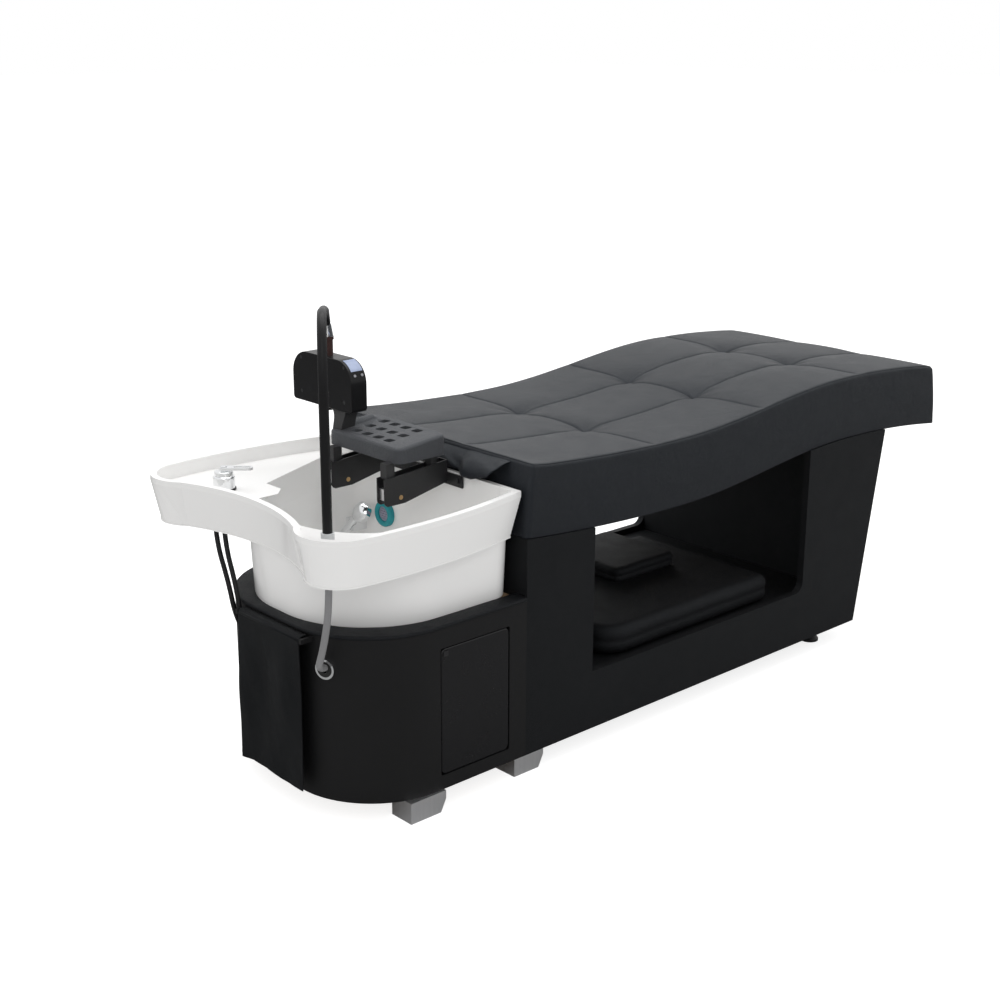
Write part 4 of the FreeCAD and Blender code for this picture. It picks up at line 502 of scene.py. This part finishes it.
def buildLoosePad(name, look):
    low, high = look["low"], look["high"]
    xs = stationsBetween([low[0], high[0]], padCover["fine"], padCover["cell"])
    ys = stationsBetween([low[1], high[1]], padCover["fine"], padCover["cell"])
    zs = evenStations(low[2], high[2], padCover["rows"])
    bm = gridBlock(xs, ys, zs)
    middleX, middleY = (low[0] + high[0]) / 2, (low[1] + high[1]) / 2
    for vert in bm.verts:
        base = vert.co.copy()
        point, out, inset = roundedSpot(base, low, high, look["corners"], look["edge"], look["edge"])
        if inset < hair:
            share = (base.z - low[2]) / (high[2] - low[2])
            seam = padCover["seam"] * math.exp(-((share - padCover["seamAt"]) / padCover["seamWide"]) ** 2)
            fold = padCover["fold"] * softNoise(point, padCover["foldScale"])
            point.x -= out.x * (seam - fold)
            point.y -= out.y * (seam - fold)
        if base.z >= high[2] - hair:
            crownX = 1 - ((base.x - middleX) / (high[0] - low[0]) * 2) ** 2
            crownY = 1 - ((base.y - middleY) / (high[1] - low[1]) * 2) ** 2
            point.z += look["crown"] * crownX * crownY
            ripple = softNoise((point.x, point.y, 1), padCover["rippleScale"])
            point.z += padCover["ripple"] * min(1, inset / padCover["rippleWide"]) * ripple
        vert.co = spot(*point)
    piece = finishPiece(name + "Soft", bm, "pad_leather", look["body"])
    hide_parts(name)


for name, look in loosePads.items():
    buildLoosePad(name, look)
print("loose pads done")

# every slot of the headrest plate is stretched along its slant
plate = {
    "middle": -0.100, "step": 0.037, "rows": (-1, 0, 1), "columns": (-1.5, -0.5, 0.5, 1.5),
    "reachX": 0.0085, "reachY": 0.0102, "turn": -42.5, "along": 1.42, "across": 1.16, "sharp": 34,
}


def buildPlate():
    source = nodes["headrest_plate"]
    bm = bmesh.new()
    bm.from_mesh(source.data)
    bm.transform(source.matrix_world)
    bmesh.ops.remove_doubles(bm, verts=bm.verts, dist=hair)
    turn = Matrix.Rotation(math.radians(plate["turn"]), 2)
    widen = turn @ Matrix(((plate["along"], 0), (0, plate["across"]))) @ turn.inverted()
    for row in plate["rows"]:
        for column in plate["columns"]:
            centre = spot(plate["middle"] + row * plate["step"], column * plate["step"], 0).xy
            for vert in bm.verts:
                away = vert.co.xy - centre
                if abs(away.x) < plate["reachX"] and abs(away.y) < plate["reachY"]:
                    vert.co.xy = centre + widen @ away
    piece = finishPiece("slottedPlate", bm, "rest_rubber", "headrest")
    piece.data.set_sharp_from_angle(angle=math.radians(plate["sharp"]))
    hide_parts("headrest_plate")


# painted shade: a black ring on the grommet's face round the lower hose stands in for the shade inside its
# open hole, leaving a thin chrome rim
holeShade = {
    "place": (-0.4286, -0.2094, 0.330), "turn": 22.4, "outer": 0.0162, "inner": 0.0076, "deep": 0.0011,
    "proud": 0.0034, "sides": 56,
}


def buildHoleShade():
    bm = bmesh.new()
    bmesh.ops.create_circle(bm, segments=holeShade["sides"], radius=holeShade["inner"])
    rim = bmesh.ops.extrude_edge_only(bm, edges=bm.edges)["geom"]
    outer = [one for one in rim if isinstance(one, bmesh.types.BMVert)]
    bmesh.ops.scale(bm, verts=outer, vec=[holeShade["outer"] / holeShade["inner"]] * 2 + [1])
    bmesh.ops.solidify(bm, geom=bm.faces[:], thickness=holeShade["deep"])
    turn = math.radians(holeShade["turn"])
    for matrix in (Matrix.Rotation(-math.pi / 2, 3, "Y"), Matrix.Rotation(turn, 3, "Z")):
        bmesh.ops.rotate(bm, verts=bm.verts, cent=(0, 0, 0), matrix=matrix)
    out = Vector((-math.cos(turn), -math.sin(turn), 0)) * holeShade["proud"]
    bmesh.ops.translate(bm, verts=bm.verts, vec=spot(*holeShade["place"]) + out)
    # the black ring is painted shade for the grommet's open hole
    finishPiece("grommetHoleShade", bm, "seal_black", "bed", smooth=False)


buildPlate()
buildHoleShade()
print("plate and bush done")

# padded ring round the cabinet's top: its outline outside and inside, and its section
ring = {
    "outer": {"reach": 0.4455, "half": 0.3325, "farHead": 0.158, "corner": 0.1975},
    "inner": {"reach": 0.4185, "half": 0.2885, "farHead": 0.1155, "corner": 0.2135},
    "straight": 24, "bend": 34, "low": 0.397, "high": 0.405, "round": 0.0052, "roundRows": 6,
    "squash": 0.9, "hem": ((0.0016, 0), (0.0002, 0.0012)), "crownIn": 0.7, "innerDrop": 0.0022,
    "crown": ((0.2, 0.0009), (0.4, 0.0013), (0.6, 0.0012), (0.8, 0.0004), (0.93, -0.0008)),
    "ripple": 0.0007, "rippleScale": (24, 24, 60), "topBand": 0.004, "topRipple": 0.0009,
    "topScale": (17, 17, 8), "merge": 1e-5,
}


def dRoute(look):
    # evenly spaced places along the outline, from the bed end of the near side to that of the far side
    reach, half, farHead, corner = look["reach"], look["half"], look["farHead"], look["corner"]
    ends = [Vector((0, -half)), Vector((-reach, -half)), Vector((-reach, farHead)), Vector((0, half))]
    route = [ends[0]]
    for before, at, after in ((ends[0], ends[1], ends[2]), (ends[1], ends[2], ends[3])):
        back, ahead = (before - at).normalized(), (after - at).normalized()
        turn = math.pi - back.angle(ahead)
        reachIn = corner * math.tan(turn / 2)
        centre = at + (back + ahead).normalized() * corner / math.cos(turn / 2)
        first = at + back * reachIn
        last = route[-1]
        for step in range(1, ring["straight"] + 1):
            route.append(last.lerp(first, step / ring["straight"]))
        arm = first - centre
        for step in range(1, ring["bend"] + 1):
            route.append(centre + Matrix.Rotation(-turn * step / ring["bend"], 2) @ arm)
    last = route[-1]
    for step in range(1, ring["straight"] + 1):
        route.append(last.lerp(ends[3], step / ring["straight"]))
    return route


def ringSection():
    # places on the section: run inward, share of the width, height
    low, high, soft = ring["low"], ring["high"], ring["round"]
    section = [(inward, 0, low + up) for inward, up in ring["hem"]]
    for step in range(ring["roundRows"] + 1):
        angle = math.pi / 2 * step / ring["roundRows"]
        drop = soft * (1 - math.sin(angle)) * ring["squash"]
        section.append((soft * (1 - math.cos(angle)), 0, high - drop))
    section += [(soft * ring["crownIn"], share, high + lift) for share, lift in ring["crown"]]
    section += [(0, 1, high - ring["innerDrop"]), (0, 1, low)]
    return section


def buildRing():
    outer, inner, section = dRoute(ring["outer"]), dRoute(ring["inner"]), ringSection()
    bm = bmesh.new()
    bmesh.ops.create_grid(bm, x_segments=len(outer) - 1, y_segments=len(section), size=1)
    for vert in bm.verts:
        along = round((vert.co.x + 1) / 2 * (len(outer) - 1))
        around = round((vert.co.y + 1) / 2 * len(section)) % len(section)
        inward, share, up = section[around]
        across = inner[along] - outer[along]
        place = outer[along] + across.normalized() * inward + across * share * (1 - inward / across.length)
        soft = ring["ripple"] * softNoise((place.x, place.y, up), ring["rippleScale"])
        place -= across.normalized() * soft
        if up > ring["high"] - ring["topBand"]:
            up += ring["topRipple"] * softNoise((place.x, place.y, 1), ring["topScale"])
        vert.co = spot(place.x, place.y, up)
    bmesh.ops.remove_doubles(bm, verts=bm.verts, dist=ring["merge"])
    bmesh.ops.holes_fill(bm, edges=bm.edges, sides=0)
    piece = finishPiece("ringPadding", bm, "pad_leather", "bed")
    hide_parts("padded_ring")


buildRing()
print("ring done")


# hanging leather: across runs from -1 to 1 over a sheet, and down from 0 at its top to 1
def sheetGrid(columns, rows):
    bm = bmesh.new()
    bmesh.ops.create_grid(bm, x_segments=columns, y_segments=rows, size=1)
    return bm


def thicken(piece, thick):
    solid = piece.modifiers.new("thickness", "SOLIDIFY")
    solid.thickness = thick
    solid.offset = 0


def slantNoise(across, down, look):
    # a slow wave that runs slantwise over a sheet
    first, second = [across * a + down * b for a, b in zip(look["across"], look["down"])]
    return look["deep"] * noise.noise(Vector((first, second, look["seed"])))


apron = {
    # outline
    "cells": (120, 130), "near": -0.175, "far": 0.034, "spread": 0.004, "spreadDown": 0.06, "flare": 0.010,
    "top": 0.3962, "low": 0.062, "at": -0.4615, "thick": 0.0016, "drift": 0.004,
    # the sleeve round the rail, and the top edge that is tucked in
    "rail": 0.388, "sleeve": 0.0044, "sleeveSides": 28, "tuck": -0.4470, "over": 0.03,
    # folds: share, waves across, waves down, start
    "fold": 0.0042, "foldGrow": 2.2, "foldFade": 0.45,
    "waves": ((1, 3.1, 1.5, -0.4), (0.5, 5.6, -2.3, 1.1)),
    "sway": {"deep": 0.004, "across": (1.3, -0.7), "down": (1.9, 1.3), "seed": 1.5},
    "crease": {"deep": 0.0014, "across": (3.4, -1.8), "down": (4.2, 2.2), "seed": 4.1},
    "swayGrow": 3,
    # hem
    "hem": 0.0006, "hemAt": 0.965, "hemWide": 0.005, "hemWave": 0.003, "hemTurns": 4, "hemPower": 6,
    "pinch": 0.004, "pinchDown": (0.72, 0.28), "pinchAcross": (0.45, 0.55),
}


def apronFar(down):
    opened = apron["spread"] * (1 - math.exp(-down / apron["spreadDown"]))
    return apron["far"] + opened + apron["flare"] * down ** 2


def buildApron():
    bm = sheetGrid(*apron["cells"])
    for vert in bm.verts:
        across, down = vert.co.x, (1 - vert.co.y) / 2
        side = apron["near"] + (apronFar(down) - apron["near"]) * (across + 1) / 2
        broad = sum(share * math.sin(a * across + b * down + start) for share, a, b, start in apron["waves"])
        sway = slantNoise(across, down, apron["sway"]) + slantNoise(across, down, apron["crease"])
        hem = apron["hem"] * math.exp(-((down - apron["hemAt"]) / apron["hemWide"]) ** 2)
        depth = apron["fold"] * min(1, down * apron["foldGrow"]) * (1 - apron["foldFade"] * down)
        x = apron["at"] - apron["sleeve"] + apron["drift"] * down
        x += depth * broad + sway * min(1, down * apron["swayGrow"]) - hem
        x -= apron["pinch"] * (past(down, *apron["pinchDown"]) * past(-across, *apron["pinchAcross"]))
        z = apron["top"] - (apron["top"] - apron["low"]) * down
        z += apron["hemWave"] * math.sin(apron["hemTurns"] * across) * down ** apron["hemPower"]
        if down < apron["over"]:
            # the top edge runs back over the rail and is tucked in under the ring
            turn = math.pi / 2 * down / apron["over"]
            x = apron["tuck"] + (x - apron["tuck"]) * math.sin(turn)
            z = apron["top"] - (apron["top"] - z) * (1 - math.cos(turn))
        vert.co = spot(x, side, z)
    piece = finishPiece("apronCloth", bm, "apron_leather", "apron")
    thicken(piece, apron["thick"])
    sleeve = buildSleeve()
    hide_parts("service_apron")


def buildSleeve():
    bm = bmesh.new()
    bmesh.ops.create_circle(bm, segments=apron["sleeveSides"], radius=apron["sleeve"])
    made = bmesh.ops.extrude_edge_only(bm, edges=bm.edges)["geom"]
    farEnd = [one for one in made if isinstance(one, bmesh.types.BMVert)]
    bmesh.ops.translate(bm, verts=farEnd, vec=(0, 0, apron["far"] - apron["near"]))
    bmesh.ops.rotate(bm, verts=bm.verts, cent=(0, 0, 0), matrix=Matrix.Rotation(-math.pi / 2, 3, "X"))
    bmesh.ops.translate(bm, verts=bm.verts, vec=spot(apron["at"], apron["near"], apron["rail"]))
    sleeve = finishPiece("apronSleeve", bm, "apron_leather", "apron")
    thicken(sleeve, apron["thick"])
    return sleeve


buildApron()

flap = {
    # outline
    "cells": (150, 30), "halfTop": 0.266, "halfLow": 0.233, "top": 0.6815, "topAt": 0.0255, "thick": 0.0024,
    "outMiddle": -0.010, "outSide": -0.027, "lowMiddle": 0.6405, "lowSide": 0.634, "lowEnd": 0.649,
    "sideFrom": (0.125, 0.035), "tipFrom": (0.185, 0.045), "runPower": 1.7, "fallPower": 1.35,
    # folds
    "slant": 20, "fold": {"deep": 0.0042, "across": (0.9, 0), "down": (2.6, 1.2), "seed": 4},
    "crease": 0.0016, "creaseAcross": 34, "creaseDown": 2.4, "creaseStart": 0.6, "foldGrow": 2.2,
    "foldLean": 0.7,
}


def buildFlap():
    bm = sheetGrid(*flap["cells"])
    for vert in bm.verts:
        across, down = vert.co.x, (1 - vert.co.y) / 2
        side = across * (flap["halfTop"] + (flap["halfLow"] - flap["halfTop"]) * down)
        ends = min(1, past(abs(side), *flap["sideFrom"]))
        ends = ends * ends * (3 - 2 * ends)
        tip = min(1, past(abs(side), *flap["tipFrom"]))
        out = flap["outMiddle"] + (flap["outSide"] - flap["outMiddle"]) * ends
        low = flap["lowMiddle"] + (flap["lowSide"] - flap["lowMiddle"]) * ends
        low += (flap["lowEnd"] - flap["lowSide"]) * tip
        x = flap["topAt"] + (out - flap["topAt"]) * (1 - (1 - down) ** flap["runPower"])
        z = flap["top"] + (low - flap["top"]) * down ** flap["fallPower"]
        fold = slantNoise(-flap["slant"] * abs(side), down, flap["fold"])
        wave = flap["creaseAcross"] * abs(side) + flap["creaseDown"] * down + flap["creaseStart"]
        lift = fold + flap["crease"] * (math.sin(wave) * ends)
        lean = lift * min(1, down * flap["foldGrow"]) * flap["foldLean"]
        vert.co = spot(x - lean, side, z + lean)
    piece = finishPiece("neckFlap", bm, "black_leather", "bed")
    thicken(piece, flap["thick"])
    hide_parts("neck_flap")


buildFlap()
print("hanging leather done")

# hoses, each with the places its line is drawn through
hoses = {
    "hood_hose": {
        "points": [(-0.948, -0.271, 0.9), (-0.948, -0.271, 0.9762), (-0.9149, -0.2272, 1.036),
                   (-0.8558, -0.1489, 1.0204), (-0.7826, -0.0521, 1.003), (-0.7095, 0.0447, 0.9775),
                   (-0.6397, 0.1413, 0.9594), (-0.63, 0.15, 0.928)],
        "diameter": 0.0184, "length": 0.646, "material": "hose_black", "stiff": "stiff", "lay": "hanging",
        "bends": ("headrest", (-0.948, -0.271, 0.98), (-0.66, 0.12, 0.98)),
    },
    "lower_hose": {
        "points": [(-0.948, -0.271, 0.588), (-0.948, -0.271, 0.489), (-0.9517, -0.2523, 0.396),
                   (-0.9497, -0.2223, 0.33), (-0.8758, -0.1918, 0.33)],
        "diameter": 0.014, "length": 0.335, "material": "hose_grey", "stiff": "medium", "lay": "hanging",
    },
    "supply_hose_hot": {
        "points": [(-0.92, 0.166, 0.591), (-0.92, 0.166, 0.508), (-0.94, 0.092, 0.434),
                   (-0.9413, 0.072, 0.374), (-0.926, 0.068, 0.332), (-0.882, 0.063, 0.304),
                   (-0.882, 0.063, 0.255)],
        "diameter": 0.0105, "length": 0.388, "material": "hose_black", "stiff": "limp", "lay": "hanging",
    },
    "supply_hose_cold": {
        "points": [(-0.9175, 0.136, 0.591), (-0.9175, 0.136, 0.508), (-0.94, 0.064, 0.434),
                   (-0.9413, 0.05, 0.374), (-0.926, 0.048, 0.332), (-0.882, 0.044, 0.304),
                   (-0.882, 0.044, 0.255)],
        "diameter": 0.0105, "length": 0.385, "material": "hose_black", "stiff": "limp", "lay": "hanging",
    },
}
hoseMesh = {"roundSteps": 6, "lineSteps": 16, "order": 3}


def asTube(line):
    # a hose that ends on a moving part is turned into a mesh, and its centre line is read off
    tube = bpy.data.meshes.new_from_object(line)
    line.data.bevel_depth = 0
    bpy.context.view_layer.update()
    thread = bpy.data.meshes.new_from_object(line)
    path = [tuple(vert.co) for vert in thread.vertices]
    name = line.name
    bpy.data.objects.remove(line)
    for face in tube.polygons:
        face.use_smooth = len(face.vertices) == 4  # the end caps have more corners and stay flat
    piece = bpy.data.objects.new(name, tube)
    bpy.context.scene.collection.objects.link(piece)
    return piece, path


def buildHose(name, look):
    curve = bpy.data.curves.new(name + "Line", "CURVE")
    curve.dimensions = "3D"
    curve.bevel_depth = look["diameter"] / 2
    curve.bevel_resolution = hoseMesh["roundSteps"]
    curve.resolution_u = hoseMesh["lineSteps"]
    curve.use_fill_caps = True
    line = curve.splines.new("NURBS")
    line.points.add(len(look["points"]) - 1)
    for point, place in zip(line.points, look["points"]):
        point.co = (*place, 1)
    line.order_u = hoseMesh["order"]
    line.use_endpoint_u = True
    piece = bpy.data.objects.new(name + "Line", curve)
    bpy.context.scene.collection.objects.link(piece)
    curve.materials.append(materials[look["material"]])
    path = None
    if "bends" in look:
        piece, path = asTube(piece)
    if path is None:
        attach(piece, "bed")
    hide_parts(name)
    if "bends" in look:
        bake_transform(piece)


for name, look in hoses.items():
    buildHose(name, look)
print("hoses done")

# pale floor, soft light and the photo's view
studio = {
    "floor": 40.0, "floorCells": 4, "floorColor": (0.84, 0.84, 0.84), "mirroredFloor": (0.36, 0.36, 0.36),
    "shadowColor": (0.62, 0.62, 0.62), "floorWhite": 0.80, "sky": 0.68, "shownSky": 1.0,
    "lens": 56.345, "sensor": 36, "target": (-0.056, 0.2271, 0.400), "away": 3.9103,
    "azimuth": -42.51, "elevation": 17.06, "roll": 0.21,
}
lamps = {
    "topPanel": {"place": (0.2, 0.3, 3.2), "aim": (0.1, 0.1, 0.4), "size": (3.4, 2.4), "power": 58},
    "keyPanel": {"place": (-2.6, -2.4, 2.6), "aim": (-0.2, 0, 0.4), "size": (1.6, 1.6), "power": 12},
    "fillPanel": {"place": (2.2, -3.0, 1.8), "aim": (0.3, 0, 0.4), "size": (2.0, 1.6), "power": 3},
}


def seen(tree, kinds):
    # one for the named kinds of ray, nothing for the others
    rays = addNode(tree, "ShaderNodeLightPath")
    found = rays.outputs[kinds[0]]
    for kind in kinds[1:]:
        either = addNode(tree, "ShaderNodeMath", {0: found, 1: rays.outputs[kind]}, operation="MAXIMUM")
        found = either.outputs[0]
    return found


def buildFloor():
    bm = bmesh.new()
    cells = studio["floorCells"]
    bmesh.ops.create_grid(bm, x_segments=cells, y_segments=cells, size=studio["floor"])
    mesh = bpy.data.meshes.new("paleFloor")
    bm.to_mesh(mesh)
    bm.free()
    floor = bpy.data.objects.new("paleFloor", mesh)
    bpy.context.scene.collection.objects.link(floor)
    material = bpy.data.materials.new("paleFloor")
    material.use_nodes = True
    tree = material.node_tree
    tree.nodes.remove(tree.nodes["Principled BSDF"])
    dull = addNode(tree, "ShaderNodeBsdfDiffuse", {"Color": paint(studio["floorColor"])})
    soft = addNode(tree, "ShaderNodeBsdfDiffuse", {"Color": paint(studio["shadowColor"])})
    plain = addNode(tree, "ShaderNodeEmission", {"Color": paint((1, 1, 1)), "Strength": studio["floorWhite"]})
    white = addNode(tree, "ShaderNodeAddShader", {0: soft.outputs[0], 1: plain.outputs[0]})
    pale = addNode(tree, "ShaderNodeBsdfDiffuse", {"Color": paint(studio["mirroredFloor"])})
    mirrored = seen(tree, ["Is Glossy Ray"])
    gloss = addNode(tree, "ShaderNodeMixShader", {0: mirrored, 1: dull.outputs[0], 2: pale.outputs[0]})
    shown = seen(tree, ["Is Camera Ray", "Is Transmission Ray"])
    mix = addNode(tree, "ShaderNodeMixShader", {0: shown, 1: gloss.outputs[0], 2: white.outputs[0]})
    tree.links.new(mix.outputs[0], tree.nodes["Material Output"].inputs["Surface"])
    mesh.materials.append(material)


def buildSky():
    world = bpy.data.worlds.new("studioSky")
    bpy.context.scene.world = world
    world.use_nodes = True
    tree = world.node_tree
    back = tree.nodes["Background"]
    back.inputs["Color"].default_value = paint((1, 1, 1))
    shown = seen(tree, ["Is Camera Ray", "Is Glossy Ray", "Is Transmission Ray"])
    tree.links.new(spread(tree, shown, studio["sky"], studio["shownSky"]), back.inputs["Strength"])


def addLamp(name, look):
    lamp = bpy.data.lights.new(name, "AREA")
    lamp.shape = "RECTANGLE"
    lamp.size, lamp.size_y = look["size"]
    lamp.energy = look["power"]
    holder = bpy.data.objects.new(name, lamp)
    bpy.context.scene.collection.objects.link(holder)
    holder.location = look["place"]
    aim = Vector(look["aim"]) - Vector(look["place"])
    holder.rotation_euler = aim.to_track_quat("-Z", "Y").to_euler()


def addCamera():
    camera = bpy.data.cameras.new("photoCamera")
    camera.lens = studio["lens"]
    camera.sensor_width = studio["sensor"]
    holder = bpy.data.objects.new("photoCamera", camera)
    bpy.context.scene.collection.objects.link(holder)
    turn, rise = math.radians(studio["azimuth"]), math.radians(studio["elevation"])
    back = Vector((math.sin(turn) * math.cos(rise), -math.cos(turn) * math.cos(rise), math.sin(rise)))
    holder.location = Vector(studio["target"]) + back * studio["away"]
    level = (-back).to_track_quat("-Z", "Y").to_matrix()
    roll = Matrix.Rotation(math.radians(studio["roll"]), 3, "Z")
    holder.rotation_euler = (level @ roll).to_euler()
    bpy.context.scene.camera = holder


buildFloor()
buildSky()
for name, look in lamps.items():
    addLamp(name, look)
addCamera()
scene = bpy.context.scene
scene.view_settings.view_transform = "Standard"
print("studio done")
